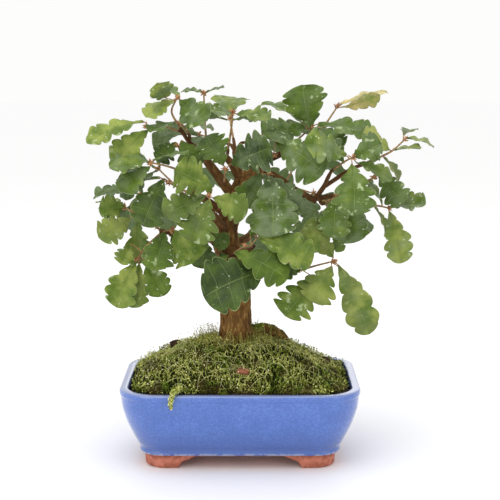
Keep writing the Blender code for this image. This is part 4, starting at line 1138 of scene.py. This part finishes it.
# each shoot: the twig's points, then its leaves as (blade's foot, tip, width, facing)
SHOOTS = {
    "shoot_top_left": [[(-66, -18, 360), (-82, -28, 366), (-98, -34, 366)], [
        ((-102, -34, 371), (-160, -54, 349), 34, TOP_FRONT),
        ((-97, -34, 362), (-133, -50, 327), 30, FRONT),
    ]],
    "shoot_left_crest": [[(-64, -14, 363), (-73, -18, 380), (-68, -18, 394)], [
        ((-79, -18, 395), (-86, -44, 411), 26, FRONT),
        ((-64, -18, 396), (-88, 16, 405), 24, TOP),
        ((-70, -20, 393), (-99, -44, 375), 26, TOP_FRONT),
        ((-64, -20, 394), (-35, -54, 372), 34, FRONT),
    ]],
    "shoot_left_inner": [[(-56, -14, 357), (-62, -24, 368)], [
        ((-68, -26, 370), (-93, -44, 363), 28, TOP),
        ((-60, -24, 370), (-28, -14, 363), 28, TOP),
    ]],
    "shoot_crown_bud": [[(-36, -4, 339), (-38, -4, 371), (-39, -4, 399)], [
        ((-40, -4, 401), (-63, 2, 402), 24, TOP),
        ((-37, -4, 401), (-18, -12, 406), 22, TOP),
    ]],
    "shoot_crown_middle": [[(-13, -6, 339), (-9, -8, 365), (-8, -10, 378)], [
        ((-9, -10, 379), (-32, -24, 382), 30, TOP_FRONT),
        ((-6, -10, 382), (0, 16, 393), 24, TOP),
        ((-4, -10, 378), (33, -20, 373), 30, TOP_FRONT),
    ]],
    "shoot_left_face": [[(-57, -44, 318), (-76, -50, 325), (-92, -54, 329)], [
        ((-94, -54, 331), (-135, -64, 327), 32, TOP_FRONT),
        ((-91, -54, 332), (-53, -70, 340), 24, TOP),
        ((-94, -56, 326), (-125, -70, 302), 32, TOP_FRONT),
    ]],
    "shoot_left_inner_face": [[(-54, -24, 329), (-66, -34, 345)], [
        ((-68, -34, 349), (-88, -48, 331), 24, FRONT),
        ((-62, -32, 351), (-46, -40, 322), 30, FRONT),
    ]],
    "shoot_left_side": [[(-57, -40, 297), (-74, -48, 307)], [
        ((-80, -50, 312), (-102, -62, 263), 38, FRONT),
        ((-84, -50, 313), (-156, -34, 287), 26, TOP),
    ]],
    "shoot_front_face": [[(-30, -54, 282), (-32, -70, 295)], [
        ((-29, -70, 300), (-67, -84, 324), 46, FRONT_UP),
        ((-35, -72, 297), (-78, -88, 279), 32, FRONT_UP),
        ((-28, -70, 294), (7, -86, 279), 30, FRONT),
        ((-31, -74, 293), (-49, -88, 250), 42, FRONT),
    ]],
    "shoot_left_low_face": [[(-58, -28, 248), (-71, -44, 256)], [
        ((-70, -46, 257), (-46, -60, 225), 42, FRONT),
        ((-81, -44, 255), (-91, -60, 219), 34, FRONT),
        ((-73, -40, 253), (-69, -34, 220), 10, FRONT),
    ]],
    "shoot_middle_low_face": [[(-30, -19, 238), (-37, -27, 244)], [
        ((-39, -28, 245), (-42, -38, 214), 30, FRONT),
        ((-32, -24, 247), (-13, -40, 239), 20, FRONT),
    ]],
    "shoot_far_left": [[(-86, -26, 254), (-108, -26, 269), (-123, -26, 278)], [
        ((-123, -26, 278), (-150, -40, 280), 28, FRONT),
        ((-118, -28, 267), (-151, -44, 252), 30, FRONT),
        ((-110, -26, 264), (-107, -34, 220), 32, FRONT),
        ((-125, -24, 280), (-153, 6, 281), 24, TOP),
    ]],
    "shoot_left_low": [[(-86, -26, 250), (-101, -34, 237), (-109, -40, 226)], [
        ((-116, -38, 240), (-127, -52, 221), 22, FRONT),
        ((-111, -42, 222), (-131, -58, 175), 34, FRONT),
        ((-108, -40, 220), (-115, -44, 172), 28, FRONT),
        ((-101, -38, 221), (-81, -52, 187), 28, FRONT),
    ]],
    "shoot_centre_face": [[(-17, -28, 306), (-15, -44, 321)], [
        ((-10, -48, 327), (34, -64, 346), 44, FRONT),
        ((-17, -44, 325), (-35, -54, 357), 34, FRONT),
    ]],
    "shoot_centre_right": [[(28, -24, 323), (36, -40, 335)], [
        ((38, -44, 350), (88, -66, 319), 48, FRONT),
        ((24, -34, 317), (2, -38, 281), 28, FRONT),
    ]],
    "shoot_top_right": [[(48, 0, 338), (65, -4, 352), (76, -8, 363)], [
        ((77, -10, 363), (67, -18, 409), 46, FRONT),
        ((68, -8, 368), (24, 6, 390), 26, TOP),
        ((71, -12, 363), (22, -44, 361), 34, FRONT_UP),
        ((84, -10, 367), (142, -28, 356), 34, TOP_FRONT),
        ((78, -12, 359), (32, -10, 348), 24, TOP),
        ((86, -12, 363), (110, -48, 350), 30, FRONT),
    ]],
    "shoot_top_far_right": [[(83, 6, 351), (96, 6, 370), (105, 4, 384)], [
        ((110, 4, 384), (151, -2, 399), 22, DOWN_FRONT),
        ((109, 4, 388), (162, 26, 400), 24, TOP),
    ]],
    "shoot_right_knuckle": [[(100, -34, 320), (110, -44, 329), (118, -50, 334)], [
        ((112, -50, 336), (69, -70, 352), 38, FRONT_UP),
        ((110, -48, 328), (83, -24, 361), 30, FRONT_UP),
        ((118, -54, 328), (119, -78, 276), 44, FRONT),
        ((120, -50, 335), (148, -56, 350), 36, FRONT_UP),
        ((123, -48, 329), (161, -48, 310), 26, TOP_FRONT),
    ]],
    "shoot_right_face": [[(91, -33, 285), (102, -39, 291)], [
        ((103, -42, 293), (100, -54, 249), 34, FRONT),
        ((111, -38, 290), (121, -48, 243), 40, FRONT),
        ((101, -34, 253), (109, -34, 231), 14, FRONT),
    ]],
    "shoot_far_right_tip": [[(149, -18, 331), (164, -18, 339), (176, -18, 350)], [
        ((178, -18, 353), (209, -18, 344), 26, TOP),
        ((176, -16, 355), (188, 16, 360), 18, TOP),
        ((166, -18, 340), (192, -34, 342), 22, TOP),
        ((155, -18, 332), (173, -14, 305), 20, RIGHT),
        ((161, -20, 340), (130, -34, 360), 30, FRONT_UP),
    ]],
    "shoot_right_edge": [[(132, -10, 302), (143, -16, 309)], [
        ((149, -18, 316), (174, -28, 285), 30, FRONT),
    ]],
    "shoot_far_right": [[(134, -4, 278), (150, -8, 278), (161, -10, 276)], [
        ((164, -10, 278), (200, -24, 284), 32, TOP_FRONT),
        ((155, -8, 280), (137, -6, 306), 18, RIGHT),
        ((146, -6, 278), (160, -6, 244), 16, RIGHT),
        ((162, -12, 273), (175, -24, 217), 30, FRONT),
    ]],
    "shoot_centre_hanging": [[(24, -26, 312), (30, -42, 316)], [
        ((30, -48, 315), (34, -72, 252), 52, FRONT),
        ((24, -44, 316), (66, -44, 274), 30, FRONT),
    ]],
    "shoot_front_low": [[(13, -64, 242), (7, -74, 244)], [
        ((-6, -76, 237), (50, -90, 213), 40, FRONT_UP),
        ((19, -70, 252), (76, -76, 227), 40, FRONT_UP),
        ((11, -64, 251), (32, -24, 275), 30, FRONT_UP),
    ]],
    "shoot_low_right": [[(61, -34, 210), (82, -38, 217), (99, -42, 222)], [
        ((100, -44, 227), (70, -54, 266), 36, FRONT_UP),
        ((98, -48, 218), (76, -64, 182), 40, FRONT),
        ((105, -44, 219), (139, -58, 146), 34, FRONT),
        ((110, -38, 212), (143, -24, 160), 20, RIGHT),
    ]],
    "shoot_low_middle": [[(52, -38, 221), (62, -44, 215)], [
        ((68, -46, 220), (42, -64, 209), 22, TOP_FRONT),
        ((77, -48, 207), (47, -66, 168), 42, FRONT),
    ]],
    "shoot_trunk_front": [[(17, -44, 222), (30, -64, 220)], [
        ((30, -70, 218), (-37, -88, 193), 58, FRONT_DOWN),
    ]],
    "shoot_trunk_sprout": [[(-20, -22, 218), (-22, -30, 226)], [
        ((-23, -32, 224), (-31, -40, 209), 14, FRONT),
        ((-20, -30, 230), (-17, -48, 223), 12, FRONT),
    ]],
}

# shoots of the crown's far side: the twig's two ends and the length of its three leaves
CROWN_CENTRE = (0, -4, 285)
FAN_ANGLE = 62.0
FAN_DROOP = 0.35
FAN_WIDTH = 0.6
FAN_STALK = 3
BACK_SHOOTS = {
    "shoot_back_left_low": [(-62, 58, 277), (-90, 78, 267), 56],
    "shoot_back_left_high": [(-64, 60, 283), (-94, 70, 311), 58],
    "shoot_back_left_side": [(-63, 46, 269), (-110, 46, 285), 52],
    "shoot_back_low": [(16, 68, 246), (18, 92, 233), 60],
    "shoot_back_low_right": [(22, 61, 243), (52, 82, 237), 56],
    "shoot_back_right": [(60, 68, 290), (84, 88, 281), 58],
    "shoot_back_right_high": [(52, 64, 297), (68, 76, 325), 54],
    "shoot_back_right_side": [(60, 60, 287), (104, 54, 273), 52],
    "shoot_back_top": [(-8, 54, 347), (-12, 72, 367), 50],
    "shoot_back_top_left": [(-14, 46, 341), (-46, 58, 351), 54],
    "shoot_back_top_right": [(4, 46, 343), (36, 58, 355), 54],
    "shoot_back_middle": [(2, 36, 282), (4, 90, 301), 60],
}


def fan_leaves(points, length):
    """Three leaves about a twig's tip: the twig's heading turned by the fan angle, and drooping."""
    start, tip = np.array(points[0], float), np.array(points[-1], float)
    heading = unit(tip - start)
    facing = unit(unit(tip - CROWN_CENTRE) + [0, 0, 0.7])
    side = unit(np.cross(heading, facing))
    rows = []
    for turn in np.radians([-FAN_ANGLE, 0.0, FAN_ANGLE]):
        along = unit(heading * np.cos(turn) + side * np.sin(turn) - [0, 0, FAN_DROOP])
        foot_at = tip + along * FAN_STALK
        rows.append((foot_at, tip + along * (length + FAN_STALK), length * FAN_WIDTH, facing))
    return rows


for name, (start, end, length) in BACK_SHOOTS.items():
    SHOOTS[name] = [[start, end], fan_leaves([start, end], length)]
print("shoots:", len(SHOOTS))

# %% [markdown]
# ### Spurs, bark and moss on the root
# A short spur of old wood leads from the nearest limb to every shoot.  The bark reads its height from
# the tube's ridges: cracks are near black, partly the bark's own colour and partly painted shade, ridges
# are warm, and thin young wood is smooth and red-brown.

# %% Spurs and the finished wood


def nearest_on(routes, point):
    """The nearest point to a given one on any of the routes' straight runs, a little inside their ends."""
    point = np.array(point, float)
    found = []
    for route in routes:
        route = np.array(route, float)[:, :3]
        span = route[1:] - route[:-1]
        share = ((point - route[:-1]) * span).sum(1) / (span**2).sum(1)
        share = np.clip(share, 0.05, 0.93)
        found.append(route[:-1] + span * share[:, None])
    found = np.concatenate(found)
    return found[np.argmin(np.linalg.norm(found - point, axis=1))]


old_wood = list(LIMBS.values()) + [TRUNK]
for index, (points, _) in enumerate(SHOOTS.values()):
    start = np.array(points[0], float)
    heading = unit(np.array(points[1], float) - start)
    joint = nearest_on(old_wood, start)
    route = [(*joint, 2.2), (*(start - heading * 4.3), 1.8), (*(start + heading * 0.5), 1.6)]
    wood_parts.append(tube_part(route, 20, 12, 0.5, 90 + index))


def bark_finish():
    """Oak bark: warm brown ridges, near-black cracks (partly their own colour, partly painted shade), faint
    olive lichen, red-brown young wood with pores.
    """
    finish = Finish("oak_bark")
    height, young, _ = finish.look()
    grain = finish.noise(330.0, 6.0, (1, 1, 0.35))
    ridge = height.ramp(0.1, 0.8) * 0.6 + grain.ramp(0.35, 0.65) * 0.4
    # near black in the cracks, warm on the ridges: the dark is partly the bark's own colour and partly
    # painted shade
    colour = finish.mix((0.022, 0.010, 0.004), (0.200, 0.098, 0.028), ridge)
    colour = finish.mix(colour, (0.33, 0.19, 0.06), height.ramp(0.6, 1.0) * grain.ramp(0.45, 0.65))
    lichen = finish.noise(48.0, 5.0).ramp(0.56, 0.68) * height.ramp(0.3, 0.8)
    colour = finish.mix(colour, (0.19, 0.16, 0.07), lichen * 0.12)
    colour = finish.mix(colour, (0.095, 0.042, 0.018), young * 0.75)
    pores = finish.spots(900.0).ramp(0.1, 0.22, 1.0, 0.0)
    colour = finish.mix(colour, (0.26, 0.20, 0.14), pores * young * 0.5)
    return finish.done(
        Base_Color=colour,
        Roughness=grain.ramp(0.2, 0.8, 0.75, 0.95),
        Specular_IOR_Level=0.1,
        Normal=finish.bump(finish.noise(700.0, 6.0, (1, 1, 0.4)), 0.0012, 0.8),
    )


def on_top_of(route, count):
    """Random points of a tube's upper side: its path + radius x a direction that never points down."""
    path = smooth_path(route, 200)[rng.integers(0, 120, count)]
    way = unit(rng.normal(size=(count, 3)) + [0, -0.4, 0.5])
    way[:, 2] = np.abs(way[:, 2])
    return path[:, :3] + way * path[:, 3:] * rng.uniform(0.92, 1.2, (count, 1))


ROOT_MOSS_COUNT = 2200
root_moss_place = on_top_of(ROOTS["root_right_arch"], ROOT_MOSS_COUNT)
in_patch = noise(root_moss_place, 7.0, 77) > -0.1
root_moss_place = root_moss_place[in_patch]
root_moss_count = len(root_moss_place)
root_moss_size = random_rows(root_moss_count, (0.8, 2.2), (0.4, 0.8), (0.15, 0.3))
root_moss_lean = rng.normal(size=(root_moss_count, 3))
root_moss_up = rng.normal(size=(root_moss_count, 3))
root_moss_axes = axes_along(root_moss_lean, root_moss_up, root_moss_size)
root_moss = beads(root_moss_place, root_moss_axes, looks(root_moss_count, 0.35, 1.0))
root_moss_piece = piece_from("moss_on_root", [root_moss], [moss_material])
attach(root_moss_piece, "root")

wood = piece_from("oak_wood", wood_parts, [bark_finish()])
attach(wood, "root")
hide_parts("trunk")

# %% [markdown]
# ### A leaf of pedunculate oak
# The blade is widest past its middle and has four or five rounded lobes on a side.  Its grid follows
# the veins: rows sweep forward from the midrib, so a lobe's tip lies ahead of its vein's root.  The
# blade folds a little along the midrib, puffs up between the veins, and waves at its edge.

# %% One leaf
LEAF_ROWS = 90
LEAF_COLUMNS = 17
LEAF_ARCH = 0.06
# along the blade, and half its width there between lobes' crests, both as shares
LEAF_ENVELOPE = [
    (0, 0.04), (0.06, 0.14), (0.16, 0.36), (0.3, 0.62), (0.48, 0.88), (0.64, 1.0),
    (0.78, 0.97), (0.88, 0.8), (0.95, 0.54), (0.985, 0.3), (1.0, 0.05),
]
# how deep a leaf's notches may be, as shares of half its width
LEAF_CUTS = [0.34, 0.44, 0.56]


def blade(length, width):
    """A blade's grid: s along, t across, the veins' count, and how far along, across and up it lies.

    Half width = envelope x (1 - cut x (1 - |sin(pi veins)|^0.42)), so that each vein ends in a lobe.
    Height = arch + puffs between veins + groove at the midrib + fold + droop + wave + curl of the tip.
    """
    s = np.linspace(0, 1, LEAF_ROWS)[:, None]
    s = 0.6 * s + 0.4 * np.sin(np.pi / 2 * s)
    t = np.linspace(-1, 1, LEAF_COLUMNS)[None, :]
    t = np.sign(t) * np.abs(t) ** 0.85
    lobes = rng.uniform(4.2, 5.4)
    phase = np.where(t < 0, rng.uniform(-0.1, 0.1), rng.uniform(0.15, 0.4))
    middle_phase = np.where(np.abs(t) < 0.01, 0.12, phase)
    veins = lobes * s**0.9 + middle_phase
    envelope = smooth_path(LEAF_ENVELOPE, 400)
    envelope = np.interp(s, envelope[:, 0], envelope[:, 1])
    deepest = rng.choice(LEAF_CUTS) * rng.uniform(0.9, 1.1)
    cut = deepest * ease(1 - s, 0.03, 0.2) * ease(s, 0.02, 0.2)
    notch = 1 - cut * (1 - np.abs(np.sin(np.pi * veins)) ** 0.42)
    wobble = 1 + 0.05 * np.sin(2 * np.pi * (2.3 * s + rng.uniform()) + 2 * t)
    half = width / 2 * 1.08 * envelope * notch * wobble
    side = t * half
    sweep = 0.16 * np.abs(side) * ease(1 - s, 0.0, 0.4)
    bend = rng.uniform(-0.05, 0.05) * length * 4 * s * (1 - s)
    puff = 0.016 * width * np.abs(np.sin(np.pi * veins)) * np.abs(t) ** 0.5 * (1 - np.abs(t) ** 3)
    groove = -0.018 * width * np.exp(-((t / 0.1) ** 2))
    fold = rng.uniform(0.04, 0.3) * np.abs(side)
    droop = -rng.uniform(0.0, 0.012) * side**2
    ripple = lobes * 0.5 * s + rng.uniform()
    lag = np.sign(t) * rng.uniform(0.5, 2)
    wave = 0.05 * width * np.abs(t) ** 2 * np.sin(2 * np.pi * ripple + lag)
    curl = rng.uniform(-0.06, 0.05) * length * ease(s, 0.6, 1.0) ** 2
    height = length * LEAF_ARCH * 4 * s * (1 - s) + puff + groove + fold + droop + wave + curl
    return s, t, veins, (s * length + sweep, side + bend, height)


def leaf(foot, tip, width, facing, lightness, bloom, yellow):
    """A leaf from foot to tip: its blade, a thickness that swells into the midrib, and its look."""
    foot, tip, facing = np.array(foot, float), np.array(tip, float), np.array(facing, float)
    length = np.linalg.norm(tip - foot)
    along = (tip - foot) / length
    normal = unit(facing - along * (facing @ along))
    across = np.cross(along, normal)
    s, t, veins, (forward, sideways, height) = blade(length, width)
    top = foot + forward[..., None] * along + sideways[..., None] * across + height[..., None] * normal
    rib = 0.7 * np.exp(-((t / 0.07) ** 2)) * (1 - s)
    thickness = 0.16 + 0.24 * (1 - np.abs(t) ** 4) + rib
    bottom = top - thickness[..., None] * normal
    ring = np.concatenate([top, bottom[:, ::-1]], axis=1)
    across_uv = np.broadcast_to(0.5 + 0.5 * t, top.shape[:2])
    uv_u = np.concatenate([across_uv, across_uv[:, ::-1]], axis=1)
    along_uv = np.broadcast_to(veins, top.shape[:2])
    uv_v = np.concatenate([along_uv, along_uv[:, ::-1]], axis=1)
    look = np.zeros((*ring.shape[:2], 4))
    look[..., 0] = lightness
    look[..., 1] = bloom
    look[..., 2] = yellow
    look[:, LEAF_COLUMNS:, 3] = 1.0
    count = 2 * LEAF_COLUMNS
    ends = np.stack([np.arange(count)[::-1], (LEAF_ROWS - 1) * count + np.arange(count)])
    return {
        "points": ring.reshape(-1, 3),
        "faces": [grid_faces(LEAF_ROWS, count, wrap=True), ends],
        "uv": np.stack([uv_u, uv_v], axis=-1).reshape(-1, 2),
        "look": look.reshape(-1, 4),
        "finish": 0,
    }


def leaf_finish():
    """Leathery green: pale veins by UV, mottling, a grey bloom, white specks, and a paler underside."""
    finish = Finish("oak_leaf")
    light, bloom, yellow = finish.look()
    under = finish.node("ShaderNodeAttribute", {"attribute_name": "look"}, None, "Alpha")
    across, veins, _ = finish.split(finish.node("ShaderNodeTexCoord", None, None, "UV"))
    from_rib = (across - 0.5).math("ABSOLUTE")
    from_vein = (veins.math("FRACT") - 0.5).math("ABSOLUTE")
    midrib = from_rib.ramp(0.004, 0.014, 1.0, 0.0)
    side_vein = from_vein.ramp(0.01, 0.05, 1.0, 0.0) * from_rib.ramp(0.3, 0.5, 1.0, 0.2)
    rim = from_rib.ramp(0.478, 0.496)
    net = finish.spots(430.0, "DISTANCE_TO_EDGE").ramp(0.02, 0.10, 1.0, 0.0)
    # the leaf's lightness comes from its shoot: partly its own tone, partly painted shade and light of the
    # crown
    tone = finish.noise(60.0, 4.0).ramp(0.25, 0.75) * 0.45 + light * 0.75
    green = finish.mix((0.011, 0.029, 0.002), (0.074, 0.132, 0.006), tone.ramp(0.05, 0.75))
    green = finish.mix(green, (0.27, 0.325, 0.06), tone.ramp(0.62, 1.12))
    green = finish.mix(green, (0.155, 0.205, 0.105), bloom * finish.noise(75.0, 5.0).ramp(0.35, 0.65) * 0.8)
    green = finish.mix(green, (0.60, 0.48, 0.20), yellow * finish.noise(55.0, 3.0).ramp(0.25, 0.65))
    green = finish.mix(green, (0.17, 0.25, 0.07), net * 0.12)
    green = finish.mix(green, (0.22, 0.31, 0.09), side_vein * 0.28)
    green = finish.mix(green, (0.24, 0.31, 0.10), midrib * 0.5)
    green = finish.mix(green, (0.38, 0.44, 0.18), rim * 0.7)
    specks = finish.spots(170.0).ramp(0.07, 0.2, 1.0, 0.0) * finish.noise(30.0, 3.0).ramp(0.53, 0.6)
    green = finish.mix(green, (0.60, 0.68, 0.48), specks * (bloom * 0.4 + 0.5))
    smears = finish.noise(130.0, 4.0).ramp(0.58, 0.7) * finish.noise(24.0, 2.0).ramp(0.46, 0.58)
    green = finish.mix(green, (0.44, 0.52, 0.28), smears * 0.7)
    pale = finish.mix((0.12, 0.19, 0.06), (0.20, 0.28, 0.11), finish.noise(120.0, 3.0))
    pale = finish.mix(pale, (0.30, 0.37, 0.17), (side_vein + midrib).ramp(0.1, 0.9))
    colour = finish.mix(green, pale, under)
    relief = side_vein * -0.5 + midrib * -0.6 + net * -0.2 + finish.noise(350.0, 3.0) * 0.3
    return finish.done(
        Base_Color=colour,
        Roughness=finish.noise(200.0, 3.0).ramp(0.2, 0.8, 0.36, 0.52) + under * 0.15,
        Specular_IOR_Level=0.24,
        Normal=finish.bump(relief, 0.0006, 0.8),
    )


leaf_material = leaf_finish()
print("one leaf has", LEAF_ROWS * LEAF_COLUMNS * 2, "points")

# %% [markdown]
# ### Twigs, stalks and bud scales
# Twigs are thin and a little knotty, stalks are paler, and each twig ends in a knot of reddish scales.
# A leaf whose tip was moved aside in the CAD model, to clear another, is moved the same way here: of
# the allowed shifts, the one whose blade lies nearest to the CAD shoot is the one that was used.

# %% Where each leaf really lies
# shares of the length and of half the width at which a blade is compared with the CAD shoot
BLADE_MARKS = [(0.5, 0.9), (0.5, -0.9), (0.77, 1.0), (0.77, -1.0), (1.0, 0.16), (1.0, -0.16)]
TIP_SHIFTS = [(0, 0)] + [(side * 6 * step, -2 * step) for step in range(1, 9) for side in (-1, 1)]


def cad_tree(name):
    """A search tree of a CAD node, in millimetres of the pot's frame."""
    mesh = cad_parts[name].data
    points = np.empty(len(mesh.vertices) * 3)
    mesh.vertices.foreach_get("co", points)
    points = (points.reshape(-1, 3) - POT_MIDDLE) / MM
    return BVHTree.FromPolygons(points.tolist(), [tuple(face.vertices) for face in mesh.polygons])


def placed_tip(tree, foot, tip, width, facing):
    """The tip after the shift that brings the blade's two edges and tip nearest to the CAD shoot."""
    foot, facing = np.array(foot, float), np.array(facing, float)
    best = (1e9, None)
    for depth, height in TIP_SHIFTS:
        end = np.array(tip, float) + [0, depth, height]
        along = unit(end - foot)
        normal = unit(facing - along * (facing @ along))
        across = np.cross(along, normal)
        length = np.linalg.norm(end - foot)
        misses = []
        for share, spread in BLADE_MARKS:
            arch = length * LEAF_ARCH * 4 * share * (1 - share)
            spot = foot + along * length * share + across * spread * width / 2 + normal * arch
            misses.append(tree.find_nearest(spot)[3])
        best = min(best, (sum(misses), depth, height))
    return np.array(tip, float) + [0, best[1], best[2]]


def scales_at(place, heading, count, size):
    """A bud: narrow scales set round a point and leaning outward along the heading."""
    lean = unit(np.array(heading) + 0.75 * rng.normal(size=(count, 3)))
    centres = np.array(place) + lean * size * rng.uniform(0.6, 2.2, (count, 1))
    up = rng.normal(size=(count, 3))
    half_sizes = size * random_rows(count, (1.3, 2.3), (0.6, 1.0), (0.4, 0.6))
    return beads(centres, axes_along(lean, up, half_sizes), looks(count), 2)


print("shifts tried for each leaf:", len(TIP_SHIFTS))

# %% [markdown]
# Young twigs are yellow-brown and finely grained; the bud scales take their lightness from the look
# stored on each bead, so that no two scales are quite alike.

# %% Finishes of twigs and buds
twig_finish = Finish("young_twig")
twig_tone = twig_finish.noise(300.0, 4.0)
twig_material = twig_finish.done(
    Base_Color=twig_finish.mix((0.20, 0.095, 0.035), (0.42, 0.27, 0.095), twig_tone.ramp(0.3, 0.7)),
    Roughness=twig_tone.ramp(0.2, 0.8, 0.5, 0.7),
    Normal=twig_finish.bump(twig_finish.noise(900.0, 4.0), 0.0005),
)
bud_finish = Finish("bud_scales")
bud_value, _, _ = bud_finish.look()
bud_tone = bud_value * bud_finish.noise(400.0, 3.0).ramp(0.2, 0.6)
bud_material = bud_finish.done(
    Base_Color=bud_finish.mix((0.26, 0.10, 0.035), (0.66, 0.36, 0.15), bud_tone),
    Roughness=bud_finish.noise(500.0, 2.0).ramp(0.2, 0.8, 0.45, 0.7),
    Normal=bud_finish.bump(bud_finish.noise(900.0, 3.0), 0.0004),
)

print("finishes:", twig_material.name, bud_material.name)

# %% [markdown]
# ## Shoots
# Each shoot is one piece: its twig with a knot of scales at the end, and for every leaf the blade, a
# stalk from the twig and a few scales where the stalk leaves it.  It takes the place of the CAD shoot
# of the same name.

# %% Every shoot
# ranges of the lightness and the grey bloom of a shoot that has no tint of its own
LEAF_LIGHT = (0.2, 0.7)
LEAF_BLOOM = (0.0, 0.6)
# shoots whose leaves differ: lightness, grey bloom, yellowing.  The lightness is partly the leaves' own tone
# and
# partly painted shade and light: shoots deep in the crown, such as the one in front of the trunk, are
# painted darker, and shoots at the crown's rim lighter.
SHOOT_TONES_AND_SHADE = {
    "shoot_far_left": (0.95, 0.3, 0.0),
    "shoot_top_left": (0.85, 0.2, 0.0),
    "shoot_left_crest": (0.75, 0.6, 0.0),
    "shoot_crown_middle": (0.7, 0.7, 0.0),
    "shoot_top_far_right": (0.9, 0.2, 1.0),
    "shoot_low_right": (0.75, 0.3, 0.12),
    "shoot_right_face": (0.6, 0.7, 0.0),
    "shoot_far_right_tip": (0.85, 0.5, 0.15),
    "shoot_far_right": (0.75, 0.6, 0.0),
    "shoot_trunk_front": (0.05, 0.1, 0.0),
    "shoot_centre_hanging": (0.4, 0.9, 0.0),
    "shoot_front_low": (0.55, 0.0, 0.0),
    "shoot_front_face": (0.6, 0.1, 0.05),
    "shoot_left_low": (0.7, 0.2, 0.0),
    "shoot_right_knuckle": (0.55, 0.6, 0.0),
    "shoot_centre_face": (0.3, 0.4, 0.0),
    "shoot_top_right": (0.5, 0.5, 0.0),
    "shoot_right_edge": (0.8, 0.4, 0.0),
}
# radius of a twig at its two ends, and the radii of a stalk from the twig into the blade
TWIG_RADII = (1.25, 0.85)
STALK_RADII = (0.85, 0.6, 0.62, 0.45)
# rows and columns of a twig's grid and of a stalk's
TWIG_GRID = (34, 12)
STALK_GRID = (16, 8)
# count and size of the scales at a twig's end and at the foot of a stalk
END_SCALES = (16, 1.6)
STALK_SCALES = (4, 0.7)


def stalk_route(joint, foot, tip):
    """A stalk's route: from the twig, over a low hump, to the blade's foot and a little into it."""
    hump = (joint + foot) / 2 + [0, 0, 0.6]
    inside = foot + unit(tip - foot) * 2.5
    return np.column_stack([[joint, hump, foot, inside], STALK_RADII])


leaf_total = 0
for name, (points, rows) in SHOOTS.items():
    tree = cad_tree(name)
    points = np.array(points, float)
    radii = np.linspace(*TWIG_RADII, len(points))
    twig = tube_part(np.column_stack([points, radii]), *TWIG_GRID, 0.5, 200)
    parts = [{**twig, "finish": 1}]
    heading = unit(points[-1] - points[-2])
    parts.append(scales_at(points[-1] + heading * 0.5, heading, *END_SCALES))
    usual = (rng.uniform(*LEAF_LIGHT), rng.uniform(*LEAF_BLOOM), 0.0)
    shoot_light, shoot_bloom, yellow = SHOOT_TONES_AND_SHADE.get(name, usual)
    for foot, tip, width, facing in rows:
        tip = placed_tip(tree, foot, tip, width, facing)
        foot = np.array(foot, float)
        light = np.clip(shoot_light + 0.16 * rng.normal(), 0, 1)
        bloom = np.clip(shoot_bloom + 0.2 * rng.normal(), 0, 1)
        parts.append(leaf(foot, tip, width, facing, light, bloom, yellow))
        joint = nearest_on([points], foot)
        stalk = tube_part(stalk_route(joint, foot, tip), *STALK_GRID, 0.1, 300)
        parts.append({**stalk, "finish": 1})
        parts.append(scales_at(joint, foot - joint + [0, 0, 0.1], *STALK_SCALES))
        leaf_total += 1
    shoot = piece_from(name + "_leafy", parts, [leaf_material, twig_material, bud_material])
    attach(shoot, "root")
    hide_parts(name)
print("leaves:", leaf_total)
